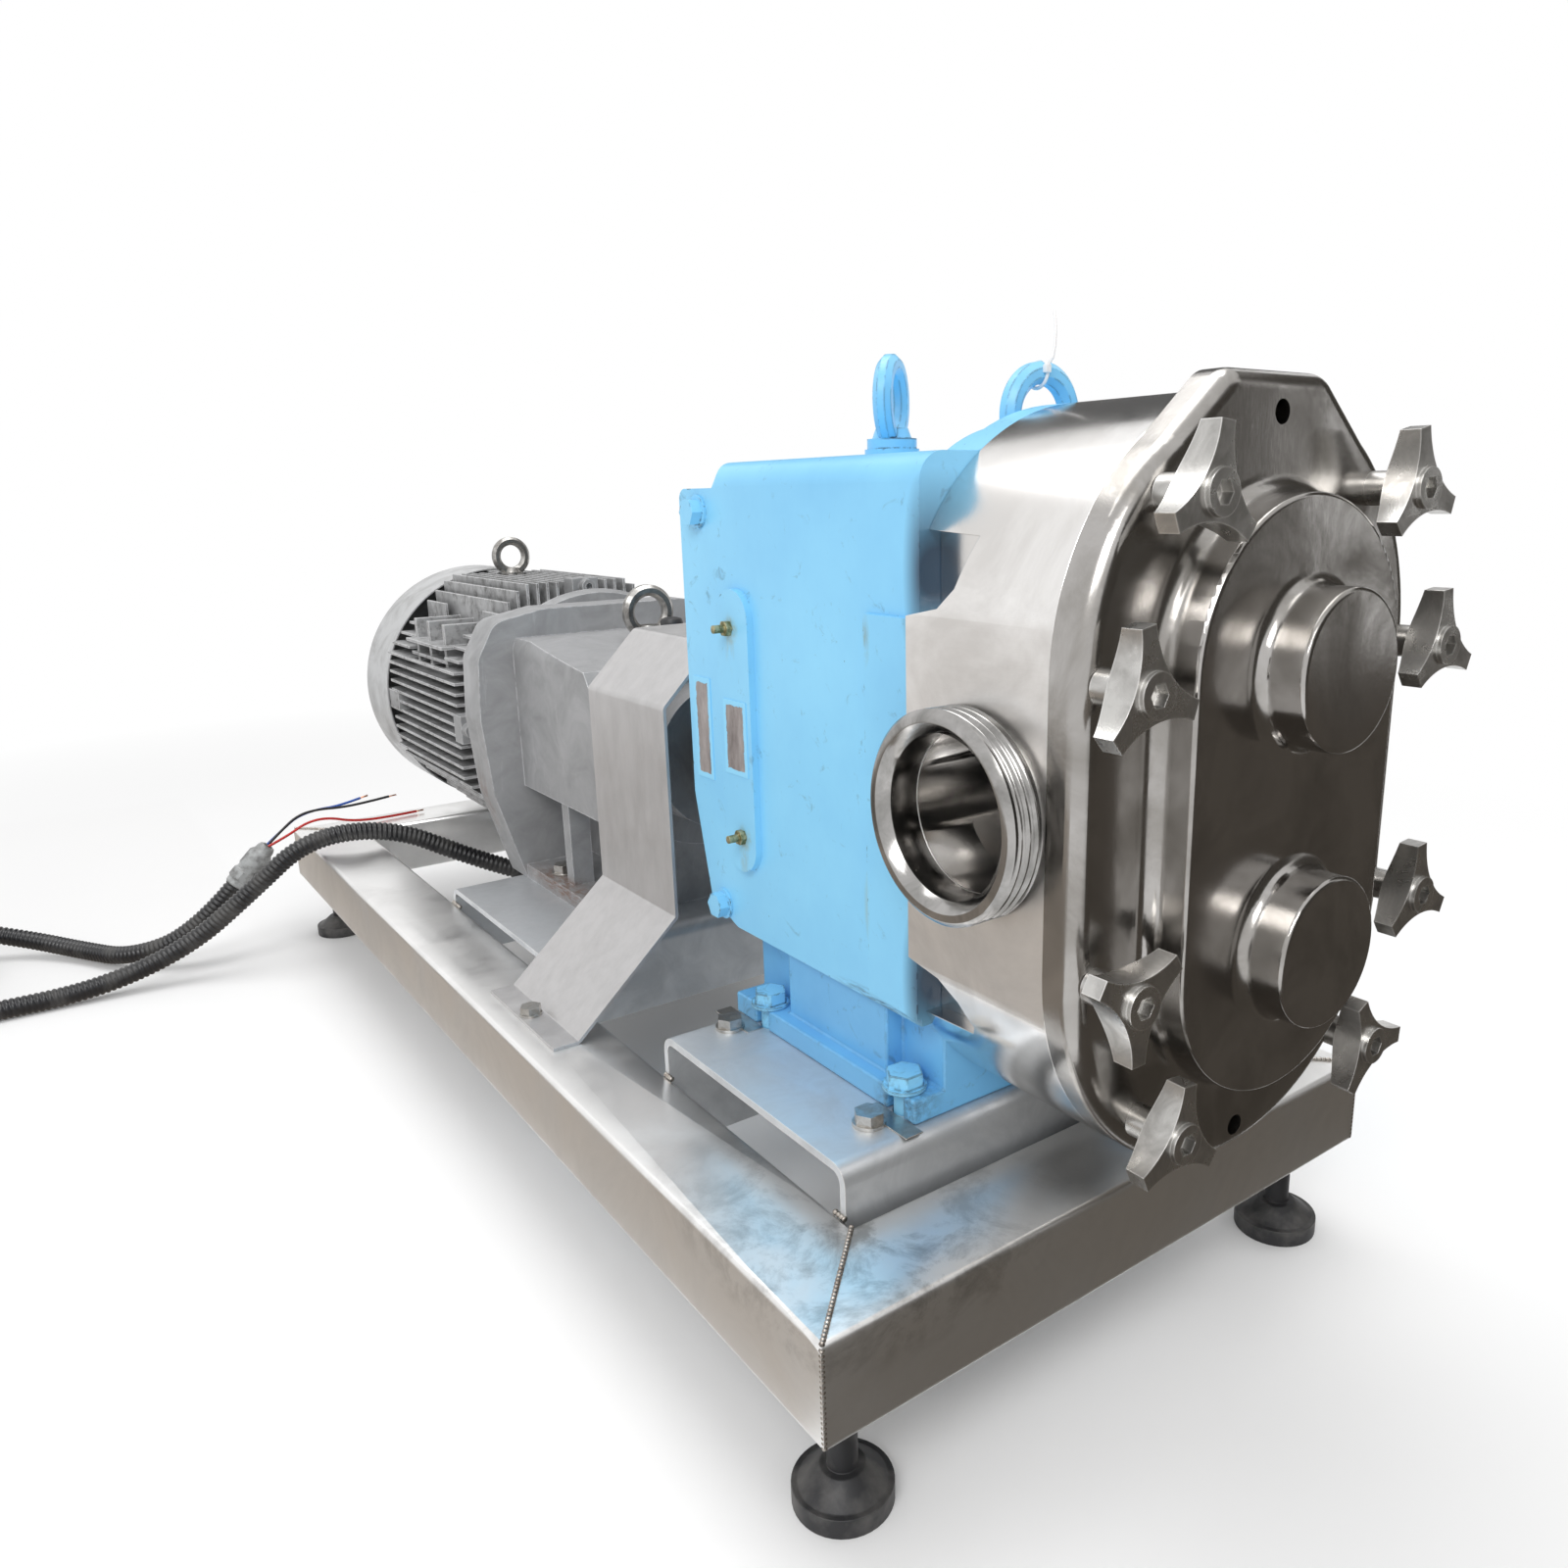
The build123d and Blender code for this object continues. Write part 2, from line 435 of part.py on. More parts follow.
# ================================================================ pump casing
with BuildPart() as casing:
    with BuildSketch(section(CASING_BACK)):
        oblong(HEAD_R)
        with Locations((0, (HEAD_R + UP - CASING_KEEL) / 2)):
            Rectangle(2 * CASING_FLAT_X, HEAD_R + UP + CASING_KEEL, mode=Mode.INTERSECT)
    extrude(amount=CASING_DEPTH)
    with BuildSketch(section(CHAMBER_BACK)):
        oblong(CHAMBER_R)
    extrude(amount=CHAMBER_DEPTH, mode=Mode.SUBTRACT)
    with BuildSketch(side(-CASING_FLAT_X)):
        with Locations((PORT_Y, 0)):
            Circle(PORT_BORE_R)
    extrude(amount=2 * CASING_FLAT_X, mode=Mode.SUBTRACT)
    for height in (UP, LOW):
        bore(height, SEAL_R, CHAMBER_BACK, CASING_BACK)
    for wall, reach in ((WINDOW_WALL_X, HEAD_R), (-WINDOW_WALL_X, -HEAD_R)):
        for outline in (WINDOW_UPPER, WINDOW_LOWER):
            with BuildSketch(side(wall)):
                with BuildLine():
                    Polyline(*[(CASING_BACK - deep, z) for deep, z in outline], close=True)
                make_face()
            extrude(amount=reach - wall, mode=Mode.SUBTRACT)
    with BuildSketch(section(CASING_FRONT + STUD_SINK)):
        with Locations(*STUD_SPOTS):
            Circle(STUD_R + NUT_CLEARANCE)
    extrude(amount=STUD_SINK, mode=Mode.SUBTRACT)
    with BuildSketch(section(CASING_FRONT + GROOVE_DEPTH)):
        oblong(GROOVE_R + GROOVE_W)
        SlotCenterToCenter(SHAFT_CENTRES, 2 * GROOVE_R, rotation=90, mode=Mode.SUBTRACT)
    extrude(amount=GROOVE_DEPTH, mode=Mode.SUBTRACT)
save(casing, "casing")

with BuildPart() as cover_gasket:
    with BuildSketch(section(CASING_FRONT + GROOVE_DEPTH - NUT_CLEARANCE)):
        oblong(GROOVE_R + GROOVE_W - NUT_CLEARANCE)
        SlotCenterToCenter(SHAFT_CENTRES, 2 * (GROOVE_R + NUT_CLEARANCE), rotation=90,
                           mode=Mode.SUBTRACT)
    extrude(amount=GROOVE_DEPTH - 2 * NUT_CLEARANCE)
save(cover_gasket, "cover_gasket")

# ================================================================ ports
for hand, name in ((-1, "port_left"), (1, "port_right")):
    with BuildPart() as port:
        seat, mouth = hand * CASING_FLAT_X, hand * (CASING_FLAT_X + PORT_OUT)
        with BuildSketch(level(0)):
            with BuildLine():
                Polyline((seat, PORT_Y + PORT_BORE_R),
                         (mouth - hand * PORT_CONE, PORT_Y + PORT_BORE_R),
                         (mouth, PORT_Y + PORT_BORE_R + PORT_CONE),
                         (mouth, PORT_Y + PORT_THREAD_R - THREAD_LEAD),
                         (mouth - hand * THREAD_LEAD, PORT_Y + PORT_THREAD_R),
                         (seat + hand * THREAD_RELIEF_L, PORT_Y + PORT_THREAD_R),
                         (seat + hand * THREAD_RELIEF_L, PORT_Y + THREAD_RELIEF_R),
                         (seat, PORT_Y + THREAD_RELIEF_R), close=True)
            make_face()
        revolve(axis=Axis((HEAD_SIDE_OFFSET, COVER_FACE + PORT_Y, MID_Z), (1, 0, 0)))
    save(port, name)

# ================================================================ cover studs and wing nuts
with BuildPart() as cover_studs:
    with BuildSketch(section(CASING_FRONT + STUD_SINK - 1)):
        with Locations(*STUD_SPOTS):
            Circle(STUD_R)
    extrude(amount=CASING_FRONT + STUD_SINK - 1 + NUT_GRIP)
save(cover_studs, "cover_studs")

for number, (spot, turn) in enumerate(zip(STUD_SPOTS, NUT_TURNS), start=1):
    with BuildPart() as wing_nut:
        with BuildSketch(section(0)):
            with BuildLine():
                for first in (turn, turn + 120, turn + 240):
                    tip = [(first - NUT_TIP_HALF, NUT_LOBE_R), (first + NUT_TIP_HALF, NUT_LOBE_R),
                           (first + 60, NUT_WAIST_R), (first + 120 - NUT_TIP_HALF, NUT_LOBE_R)]
                    a, b, c, d = [(spot[0] + r * cos(radians(t)), spot[1] + r * sin(radians(t)))
                                  for t, r in tip]
                    Line(a, b)
                    ThreePointArc(b, c, d)
            make_face()
        extrude(amount=NUT_OUT)
        stud_end = Plane(origin=(HEAD_SIDE_OFFSET + spot[0], COVER_FACE, MID_Z + spot[1]))
        with BuildSketch(stud_end):
            with BuildLine():
                Polyline((0, 0), (NUT_STEM_R, 0), (NUT_STEM_R, -NUT_STEM_L),
                         (NUT_LOBE_R, NUT_TIP_T - NUT_OUT), (NUT_LOBE_R, -NUT_OUT), (0, -NUT_OUT),
                         close=True)
            make_face()
        revolve(axis=Axis(stud_end.origin, (0, 1, 0)), mode=Mode.INTERSECT)
        with BuildSketch(section(NUT_STEM_L - NUT_OUT)):
            with Locations(spot):
                Circle(NUT_HUB_R)
        extrude(amount=NUT_HUB_OUT - NUT_OUT + NUT_STEM_L)
        with BuildSketch(section(0)):
            with Locations(spot):
                Circle(STUD_R + NUT_CLEARANCE)
        extrude(amount=NUT_GRIP + 1, mode=Mode.SUBTRACT)
        with BuildSketch(section(-NUT_HUB_OUT)):
            with Locations(spot):
                RegularPolygon(NUT_SOCKET_AF / 2, 6, major_radius=False)
        extrude(amount=-NUT_SOCKET_DEPTH, mode=Mode.SUBTRACT)
    save(wing_nut, f"wing_nut_{number}")


# ================================================================ rotors
def rotor_outline():
    """Points round one rotor: epicycloid lobes and hypocycloid roots, offset inward."""
    rolling = PITCH_R / (2 * LOBES)

    def theory(turn):
        part = turn % (2 * pi / LOBES)
        start = turn - part + pi / 2 - pi / (2 * LOBES)
        if part < pi / LOBES:
            far, spin, sign = PITCH_R + rolling, (PITCH_R + rolling) / rolling, -1
        else:
            start, part = start + pi / LOBES, part - pi / LOBES
            far, spin, sign = PITCH_R - rolling, -(PITCH_R - rolling) / rolling, 1
        x = far * cos(part) + sign * rolling * cos(spin * part)
        y = far * sin(part) + sign * rolling * sin(spin * part)
        return x * cos(start) - y * sin(start), x * sin(start) + y * cos(start)

    points = []
    for step in range(ROTOR_POINTS):
        turn = 2 * pi * step / ROTOR_POINTS
        (x0, y0), (x1, y1) = theory(turn - 1e-4), theory(turn + 1e-4)
        x, y = theory(turn)
        length = hypot(x1 - x0, y1 - y0)
        points.append((x - ROTOR_OFFSET * (y1 - y0) / length, y + ROTOR_OFFSET * (x1 - x0) / length))
    return points


for height, which in ((UP, "driven"), (LOW, "drive")):
    with BuildPart() as rotor:
        with BuildSketch(section(CHAMBER_BACK - ROTOR_END_GAP, height)):
            with BuildLine():
                Spline(*rotor_outline(), periodic=True)
            make_face()
            Circle(ROTOR_SHAFT_R + RUNNING_FIT, mode=Mode.SUBTRACT)
        extrude(amount=CHAMBER_DEPTH - 2 * ROTOR_END_GAP)
    save(rotor, f"rotor_{which}")

    with BuildPart() as rotor_nut:
        turned(height, [(0, NUT_FRONT), (ROTOR_NUT_R - 4, NUT_FRONT), (ROTOR_NUT_R, NUT_FRONT + 6),
                        (ROTOR_NUT_R, CASING_FRONT), (THREAD_R + RUNNING_FIT, CASING_FRONT),
                        (THREAD_R + RUNNING_FIT, THREAD_END - 0.5), (0, THREAD_END - 0.5)])
    save(rotor_nut, f"rotor_nut_{which}")

    with BuildPart() as shaft:
        steps = [(0, THREAD_END), (THREAD_R, THREAD_END), (THREAD_R, CASING_FRONT + ROTOR_END_GAP),
                 (ROTOR_SHAFT_R, CASING_FRONT + ROTOR_END_GAP), (ROTOR_SHAFT_R, CHAMBER_BACK),
                 (SEAL_SHAFT_R, CHAMBER_BACK), (SEAL_SHAFT_R, FRONT_BEARING),
                 (BEARING_SHAFT_R, FRONT_BEARING), (BEARING_SHAFT_R, GEAR_CHAMBER_FRONT),
                 (GEAR_SHAFT_R, GEAR_CHAMBER_FRONT)]
        if which == "driven":
            steps += [(GEAR_SHAFT_R, GEAR_BACK + 2), (0, GEAR_BACK + 2)]
        else:
            steps += [(GEAR_SHAFT_R, GEAR_BACK + 4), (COUPLING_BORE_R, GEAR_BACK + 4),
                      (COUPLING_BORE_R, SPIDER_FRONT - 4), (0, SPIDER_FRONT - 4)]
        turned(height, steps)
    save(shaft, f"{which}_shaft")

    with BuildPart() as timing_gear:
        first = 270 if which == "driven" else 90 + 180 / GEAR_TEETH
        gear(height, GEAR_MODULE, GEAR_TEETH, first, GEAR_FRONT, GEAR_BACK, flank_points=4)
        bore(height, GEAR_SHAFT_R + RUNNING_FIT, GEAR_FRONT, GEAR_BACK)
    save(timing_gear, f"timing_gear_{which}")

with BuildPart() as seal_seats:
    for height in (UP, LOW):
        ring(height, SEAL_R - RUNNING_FIT, SEAL_SHAFT_R + RUNNING_FIT, CHAMBER_BACK + 0.4, CASING_BACK)
save(seal_seats, "seal_seats")

with BuildPart() as shaft_bearings:
    for height in (UP, LOW):
        for front in (FRONT_BEARING, REAR_BEARING):
            ring(height, BEARING_R, BEARING_SHAFT_R + RUNNING_FIT, front, front + BEARING_W)
save(shaft_bearings, "shaft_bearings")

# ================================================================ gear case
with BuildPart() as case_nose:
    ring_back = CASING_BACK + CASE_RING_T
    with BuildSketch(section(ring_back + CASE_NOSE_BLEND)):
        oblong(HEAD_R - CASE_NOSE_INSET)
    extrude(amount=CASE_NOSE_BLEND + 1)
    with BuildSketch(side(-HEAD_R)):
        with BuildLine():
            crest, foot = CASE_TOP + CASE_NOSE_BLEND, ring_back + CASE_NOSE_BLEND
            Polyline((foot, CASE_TOP), (foot, CASE_TOP - 1), (ring_back - 1, CASE_TOP - 1),
                     (ring_back - 1, crest), (ring_back, crest))
            RadiusArc((ring_back, crest), (foot, CASE_TOP), CASE_NOSE_BLEND)
        make_face()
    extrude(amount=2 * HEAD_R, mode=Mode.INTERSECT)
    with BuildSketch(level(FRONT_EYE_Z)):
        with Locations((0, FRONT_EYE_Y)):
            Circle(EYE_RECESS_R)
    extrude(amount=HEAD_R, mode=Mode.SUBTRACT)

with BuildPart() as gear_case:
    with BuildSketch(side(-CASE_HALF_W)) as case_side:
        with BuildLine():
            Polyline((CASING_BACK, CASE_BOTTOM), (CASE_HEEL, CASE_BOTTOM),
                     (CASE_BACK - CASE_HEEL_L, CASE_BOTTOM + CASE_HEEL_H),
                     (CASE_BACK, CASE_BOTTOM + CASE_HEEL_H),
                     (CASE_BACK, CASE_REAR_TOP), (CASE_STEP, CASE_REAR_TOP),
                     (CASE_STEP, CASE_TOP), (CASING_BACK, CASE_TOP), close=True)
        make_face()
        fillet(case_side.vertices().sort_by(Axis.X)[-1:], radius=CASE_CORNER_R)
    extrude(amount=2 * CASE_HALF_W)
    with BuildSketch(section(CASING_BACK + CASE_RING_T)):
        oblong(HEAD_R)
        with Locations((0, (HEAD_R + UP + CASE_BOTTOM) / 2)):
            Rectangle(2 * CASE_HALF_W, HEAD_R + UP - CASE_BOTTOM, mode=Mode.INTERSECT)
    extrude(amount=CASE_RING_T)
    ring(LOW, CASE_BELLY_R, 0, CASING_BACK + CASE_RING_T, CASE_BACK)
    for corner, reach in ((CASE_BELLY_R, CASE_HALF_W), (-CASE_BELLY_R, -CASE_HALF_W)):
        with BuildSketch(side(corner)):
            with BuildLine():
                Polyline((CASE_BACK + 1, CASE_TAPER_Z), (CASE_BACK, CASE_TAPER_Z),
                         (CASE_BACK - CASE_HEEL_L, CASE_BOTTOM + CASE_HEEL_H - 4),
                         (CASE_BACK - CASE_HEEL_L, CASE_BOTTOM - 1),
                         (CASE_BACK + 1, CASE_BOTTOM - 1), close=True)
            make_face()
        extrude(amount=reach - corner, mode=Mode.SUBTRACT)
    box((-CASE_HALF_W - PAD_PROUD, -CASE_HALF_W), (CASING_BACK, CASING_BACK + PAD_L), PAD_Z)
    with BuildSketch(side(-CASE_HALF_W)):
        with Locations((RIB_Y, (RIB_TOP + RIB_LOW) / 2)):
            SlotOverall(RIB_TOP - RIB_LOW, RIB_W, rotation=90)
    extrude(amount=-RIB_PROUD)
    with BuildSketch(level(CASE_TOP)):
        with Locations((0, REAR_EYE_Y)):
            Circle(EYE_BOSS_R)
    extrude(amount=REAR_EYE_Z - CASE_TOP)
    with BuildSketch(level(FRONT_EYE_Z)):
        with Locations((0, FRONT_EYE_Y)):
            Circle(EYE_RECESS_R)
    extrude(amount=HEAD_R, mode=Mode.SUBTRACT)
    add(case_nose.part)
    for height in (UP, LOW):
        bore(height, CASE_NECK_R, CASING_BACK, FRONT_BEARING)
        bore(height, BEARING_R + RUNNING_FIT, FRONT_BEARING, GEAR_CHAMBER_FRONT)
    with BuildSketch(section(REAR_BEARING)):
        oblong(OIL_SPACE_R)
    extrude(amount=REAR_BEARING - FRONT_BEARING - BEARING_W, mode=Mode.SUBTRACT)
    bore(LOW, GEAR_CHAMBER_R, GEAR_CHAMBER_FRONT, CASE_BACK)
    bore(UP, GEAR_CHAMBER_R, GEAR_CHAMBER_FRONT, CASE_BACK - CASE_REAR_WALL)
save(gear_case, "gear_case")

with BuildPart() as gear_cover:
    ring(LOW, COVER_PLATE_R, COUPLING_BORE_R + 2, CASE_BACK, CASE_BACK + COVER_PLATE_T)
save(gear_cover, "gear_cover")

with BuildPart() as case_bolts:
    rear = Plane(origin=section(CASE_BACK + COVER_PLATE_T, LOW).origin, x_dir=(1, 0, 0),
                 z_dir=(0, 1, 0))
    ring_spots = [(COVER_BOLT_R * cos(pi * n / 4), COVER_BOLT_R * sin(pi * n / 4)) for n in range(8)]
    hex_bolts(rear, ring_spots, M8, 0)
    left = Plane(origin=side(-CASE_HALF_W).origin, x_dir=(0, -1, 0), z_dir=(-1, 0, 0))
    hex_bolts(left, [(-y, z) for y, z in SIDE_PLUGS], OIL_PLUG, 0)
    hex_bolts(side(CASE_HALF_W), list(SIDE_PLUGS), OIL_PLUG, 0)
save(case_bolts, "case_bolts")

with BuildPart() as grease_nipples:
    for y, z in NIPPLES:
        spot = Plane(origin=(HEAD_SIDE_OFFSET - CASE_HALF_W - RIB_PROUD, COVER_FACE + y, MID_Z + z),
                     x_dir=(0, -1, 0), z_dir=(-1, 0, 0))
        with BuildSketch(spot):
            RegularPolygon(NIPPLE_AF / 2, 6, major_radius=False)
        extrude(amount=NIPPLE_HEX_L)
        with BuildSketch(spot.offset(NIPPLE_HEX_L)):
            Circle(NIPPLE_R)
        extrude(amount=NIPPLE_L)
save(grease_nipples, "grease_nipples")

with BuildPart() as pump_eyes:
    eyebolt(REAR_EYE_Y, REAR_EYE_Z, EYE_M20, 90)
    eyebolt(FRONT_EYE_Y, FRONT_EYE_Z, EYE_M20, 0)
save(pump_eyes, "pump_eyes")

# ================================================================ mounting foot
with BuildPart() as mounting_foot:
    seat = PUMP_SEAT - MID_Z
    box((-FOOT_HALF_W, FOOT_HALF_W), FOOT_SPAN, (seat, seat + FOOT_PLATE_T))
    for hand in (-1, 1):
        low, high = sorted((hand * FOOT_WALL_IN, hand * FOOT_WALL_OUT))
        box((low, high), FOOT_SPAN, (seat + FOOT_PLATE_T, CASE_BOTTOM))
        low, high = sorted((hand * FOOT_WALL_IN, hand * FOOT_BOSS_OUT))
        box((low, high), (FOOT_BOLT_Y[0] + FOOT_BOSS_GAP, FOOT_BOLT_Y[1] - FOOT_BOSS_GAP),
            (seat + FOOT_PLATE_T, CASE_BOTTOM))
    box((-FOOT_WALL_IN, FOOT_WALL_IN), (FOOT_SPAN[0], FOOT_SPAN[0] + FOOT_PLATE_T),
        (seat + FOOT_PLATE_T, CASE_BOTTOM))
    for hand in (-1, 1):
        for back in FOOT_BOLT_Y:
            with BuildSketch(level(seat)):
                with Locations((hand * FOOT_BOLT_X, back)):
                    Circle(FOOT_SLOT_W / 2)
                with Locations((hand * (FOOT_BOLT_X + 10), back)):
                    Rectangle(20, FOOT_SLOT_W)
            extrude(amount=FOOT_PLATE_T, mode=Mode.SUBTRACT)
save(mounting_foot, "mounting_foot")

with BuildPart() as foot_bolts:
    top = level(PUMP_SEAT - MID_Z + FOOT_PLATE_T)
    hex_bolts(top, FOOT_BOLTS, M16, FOOT_PLATE_T + CHANNEL_T, nut_h=M16_NUT_H)
save(foot_bolts, "foot_bolts")

# ================================================================ skid rails
FRAME_MID = FRAME_BACK + FRAME_LENGTH / 2
HALF_L, HALF_W = FRAME_LENGTH / 2, FRAME_WIDTH / 2


def rail(outline, hollow, holes, name):
    """Mitred tube: `outline` in plan, hollowed by the box `hollow` = (width, length, centre)."""
    with BuildPart() as tube:
        plan = Plane(origin=(0, COVER_FACE + FRAME_MID, FOOT_HEIGHT))
        with BuildSketch(plan):
            with BuildLine():
                Polyline(*outline, close=True)
            make_face()
        extrude(amount=RAIL_H)
        with BuildSketch(plan.offset(RAIL_WALL)):
            with Locations(hollow[2]):
                Rectangle(hollow[0], hollow[1])
        extrude(amount=RAIL_H - 2 * RAIL_WALL, mode=Mode.SUBTRACT)
        for x, back in holes:
            with BuildSketch(level(RAIL_TOP - RAIL_WALL - MID_Z)):
                with Locations((x, back)):
                    Circle(M10[-1] + BOLT_CLEARANCE)
            extrude(amount=RAIL_WALL, mode=Mode.SUBTRACT)
    save(tube, name)


for hand, name, hole in ((-1, "rail_left", GUARD_LEFT_X), (1, "rail_right", GUARD_RIGHT_X)):
    inner = HALF_W - RAIL_W
    rail([(hand * HALF_W, -HALF_L), (hand * inner, RAIL_W - HALF_L), (hand * inner, HALF_L - RAIL_W),
          (hand * HALF_W, HALF_L)],
         (RAIL_W - 2 * RAIL_WALL, FRAME_LENGTH, (hand * (HALF_W - RAIL_W / 2), 0)),
         [(hole, GUARD_BOLT_Y)], name)
for hand, name in ((-1, "rail_front"), (1, "rail_rear")):
    inner = HALF_L - RAIL_W
    rail([(-HALF_W, hand * HALF_L), (RAIL_W - HALF_W, hand * inner), (HALF_W - RAIL_W, hand * inner),
          (HALF_W, hand * HALF_L)],
         (FRAME_WIDTH, RAIL_W - 2 * RAIL_WALL, (0, hand * (HALF_L - RAIL_W / 2))), [], name)

with BuildPart() as levelling_feet:
    for x in (-HALF_W + RAIL_W / 2, HALF_W - RAIL_W / 2):
        for y in (RAIL_W / 2 - HALF_L, HALF_L - RAIL_W / 2):
            foot = Plane(origin=(x, COVER_FACE + FRAME_MID + y, 0))
            with BuildSketch(foot):
                Circle(FOOT_PAD_R)
            extrude(amount=FOOT_PAD_T)
            with BuildSketch(foot.offset(FOOT_PAD_T)):
                Circle(FOOT_PAD_R - 4)
            extrude(amount=FOOT_CONE_H, taper=50)
            with BuildSketch(foot):
                Circle(FOOT_STEM_R)
            extrude(amount=FOOT_HEIGHT)
            with BuildSketch(foot.offset(FOOT_HEIGHT - FOOT_NUT_H)):
                RegularPolygon(FOOT_NUT_AF / 2, 6, major_radius=False)
            extrude(amount=FOOT_NUT_H)
save(levelling_feet, "levelling_feet")

# ================================================================ bent channels across the skid
CHANNEL_LEFT = -HALF_W + RAIL_W - HEAD_SIDE_OFFSET + CHANNEL_FIT
CHANNEL_RIGHT = HALF_W - RAIL_W - HEAD_SIDE_OFFSET - CHANNEL_FIT
for name, span, rise, holes in (
        ("pump_channel", PUMP_CHANNEL_SPAN, PUMP_CHANNEL_RISE, PUMP_CHANNEL_HOLES),
        ("reducer_channel", REDUCER_CHANNEL_SPAN, REDUCER_CHANNEL_RISE, REDUCER_CHANNEL_HOLES)):
    with BuildPart() as channel:
        top = RAIL_TOP + rise - MID_Z
        foot_z = RAIL_TOP - CHANNEL_LEG - MID_Z
        with BuildSketch(side(CHANNEL_LEFT)) as profile:
            with BuildLine():
                Polyline((span[0], foot_z), (span[0], top), (span[1], top), (span[1], foot_z),
                         close=True)
            make_face()
            fillet(profile.vertices().sort_by(Axis.Y)[-2:], radius=CHANNEL_BEND_R)
        extrude(amount=CHANNEL_RIGHT - CHANNEL_LEFT)
        with BuildSketch(side(CHANNEL_LEFT)) as profile:
            with BuildLine():
                Polyline((span[0] + CHANNEL_T, foot_z), (span[0] + CHANNEL_T, top - CHANNEL_T),
                         (span[1] - CHANNEL_T, top - CHANNEL_T), (span[1] - CHANNEL_T, foot_z),
                         close=True)
            make_face()
            fillet(profile.vertices().sort_by(Axis.Y)[-2:], radius=CHANNEL_BEND_R - CHANNEL_T)
        extrude(amount=CHANNEL_RIGHT - CHANNEL_LEFT, mode=Mode.SUBTRACT)
        for x, y, radius in holes:
            with BuildSketch(level(top - CHANNEL_T)):
                with Locations((x, y)):
                    Circle(radius + BOLT_CLEARANCE)
            extrude(amount=CHANNEL_T, mode=Mode.SUBTRACT)
    save(channel, name)

# ================================================================ coupling and its guard
with BuildPart() as coupling_guard:
    foot_z = RAIL_TOP - MID_Z
    with BuildSketch(section(GUARD_BACK)):
        with BuildLine():
            FilletPolyline((GUARD_LEFT_FOOT[0], foot_z), (GUARD_LEFT_FOOT[1], foot_z),
                           (-GUARD_HALF_W, GUARD_KNEE_Z), (-GUARD_HALF_W, GUARD_SHOULDER_Z),
                           (-GUARD_TOP_HALF_W, GUARD_TOP_Z), (GUARD_TOP_HALF_W, GUARD_TOP_Z),
                           (GUARD_HALF_W, GUARD_SHOULDER_Z), (GUARD_HALF_W, GUARD_KNEE_Z),
                           (GUARD_RIGHT_FOOT[0], foot_z), (GUARD_RIGHT_FOOT[1], foot_z), radius=5)
            offset(amount=GUARD_T, side=Side.LEFT)
        make_face()
    extrude(amount=GUARD_BACK - GUARD_FRONT)
    for x in (GUARD_LEFT_X, GUARD_RIGHT_X):
        with BuildSketch(level(foot_z)):
            with Locations((x, GUARD_BOLT_Y)):
                Circle(M10[-1] + BOLT_CLEARANCE)
        extrude(amount=GUARD_T, mode=Mode.SUBTRACT)
save(coupling_guard, "coupling_guard")

with BuildPart() as frame_bolts:
    guard_spots = [(x, GUARD_BOLT_Y) for x in (GUARD_LEFT_X, GUARD_RIGHT_X)]
    hex_bolts(level(RAIL_TOP + GUARD_T - MID_Z), guard_spots, M10, GUARD_T + RAIL_WALL)
    hex_bolts(level(PUMP_SEAT - MID_Z), JACK_SPOTS, M12, CHANNEL_T, nut_h=M12_NUT_H)
save(frame_bolts, "frame_bolts")

for name, front, jaw_front, start in (("coupling_hub_pump", HUB_FRONT, SPIDER_FRONT, 0),
                                      ("coupling_hub_reducer", SPIDER_FRONT + JAW_L, SPIDER_FRONT, 60)):
    with BuildPart() as hub:
        ring(LOW, HUB_R, COUPLING_BORE_R + RUNNING_FIT, front, front + HUB_L)
        low = jaw_front if name.endswith("pump") else jaw_front + 0.5
        with BuildSketch(section(low + JAW_L - 0.5, LOW)):
            for n in range(3):
                middle, half = radians(start + 120 * n), radians(JAW_ANGLE / 2)
                with BuildLine():
                    angles = (middle - half, middle, middle + half)
                    outer = [(HUB_R * cos(a), HUB_R * sin(a)) for a in angles]
                    inner = [(JAW_IN_R * cos(a), JAW_IN_R * sin(a)) for a in reversed(angles)]
                    ThreePointArc(*outer)
                    Line(outer[-1], inner[0])
                    ThreePointArc(*inner)
                    Line(inner[-1], outer[0])
                make_face()
        extrude(amount=JAW_L - 0.5)
    save(hub, name)

with BuildPart() as coupling_spider:
    with BuildSketch(section(SPIDER_FRONT + JAW_L - 1, LOW)):
        Circle(JAW_IN_R - 1)
        with PolarLocations((JAW_IN_R + HUB_R) / 2 - 3, 6, start_angle=30):
            Rectangle(HUB_R - JAW_IN_R + 4, SPIDER_LEG_W)
        Circle(JAW_IN_R - 9, mode=Mode.SUBTRACT)
    extrude(amount=JAW_L - 2)
save(coupling_spider, "coupling_spider")

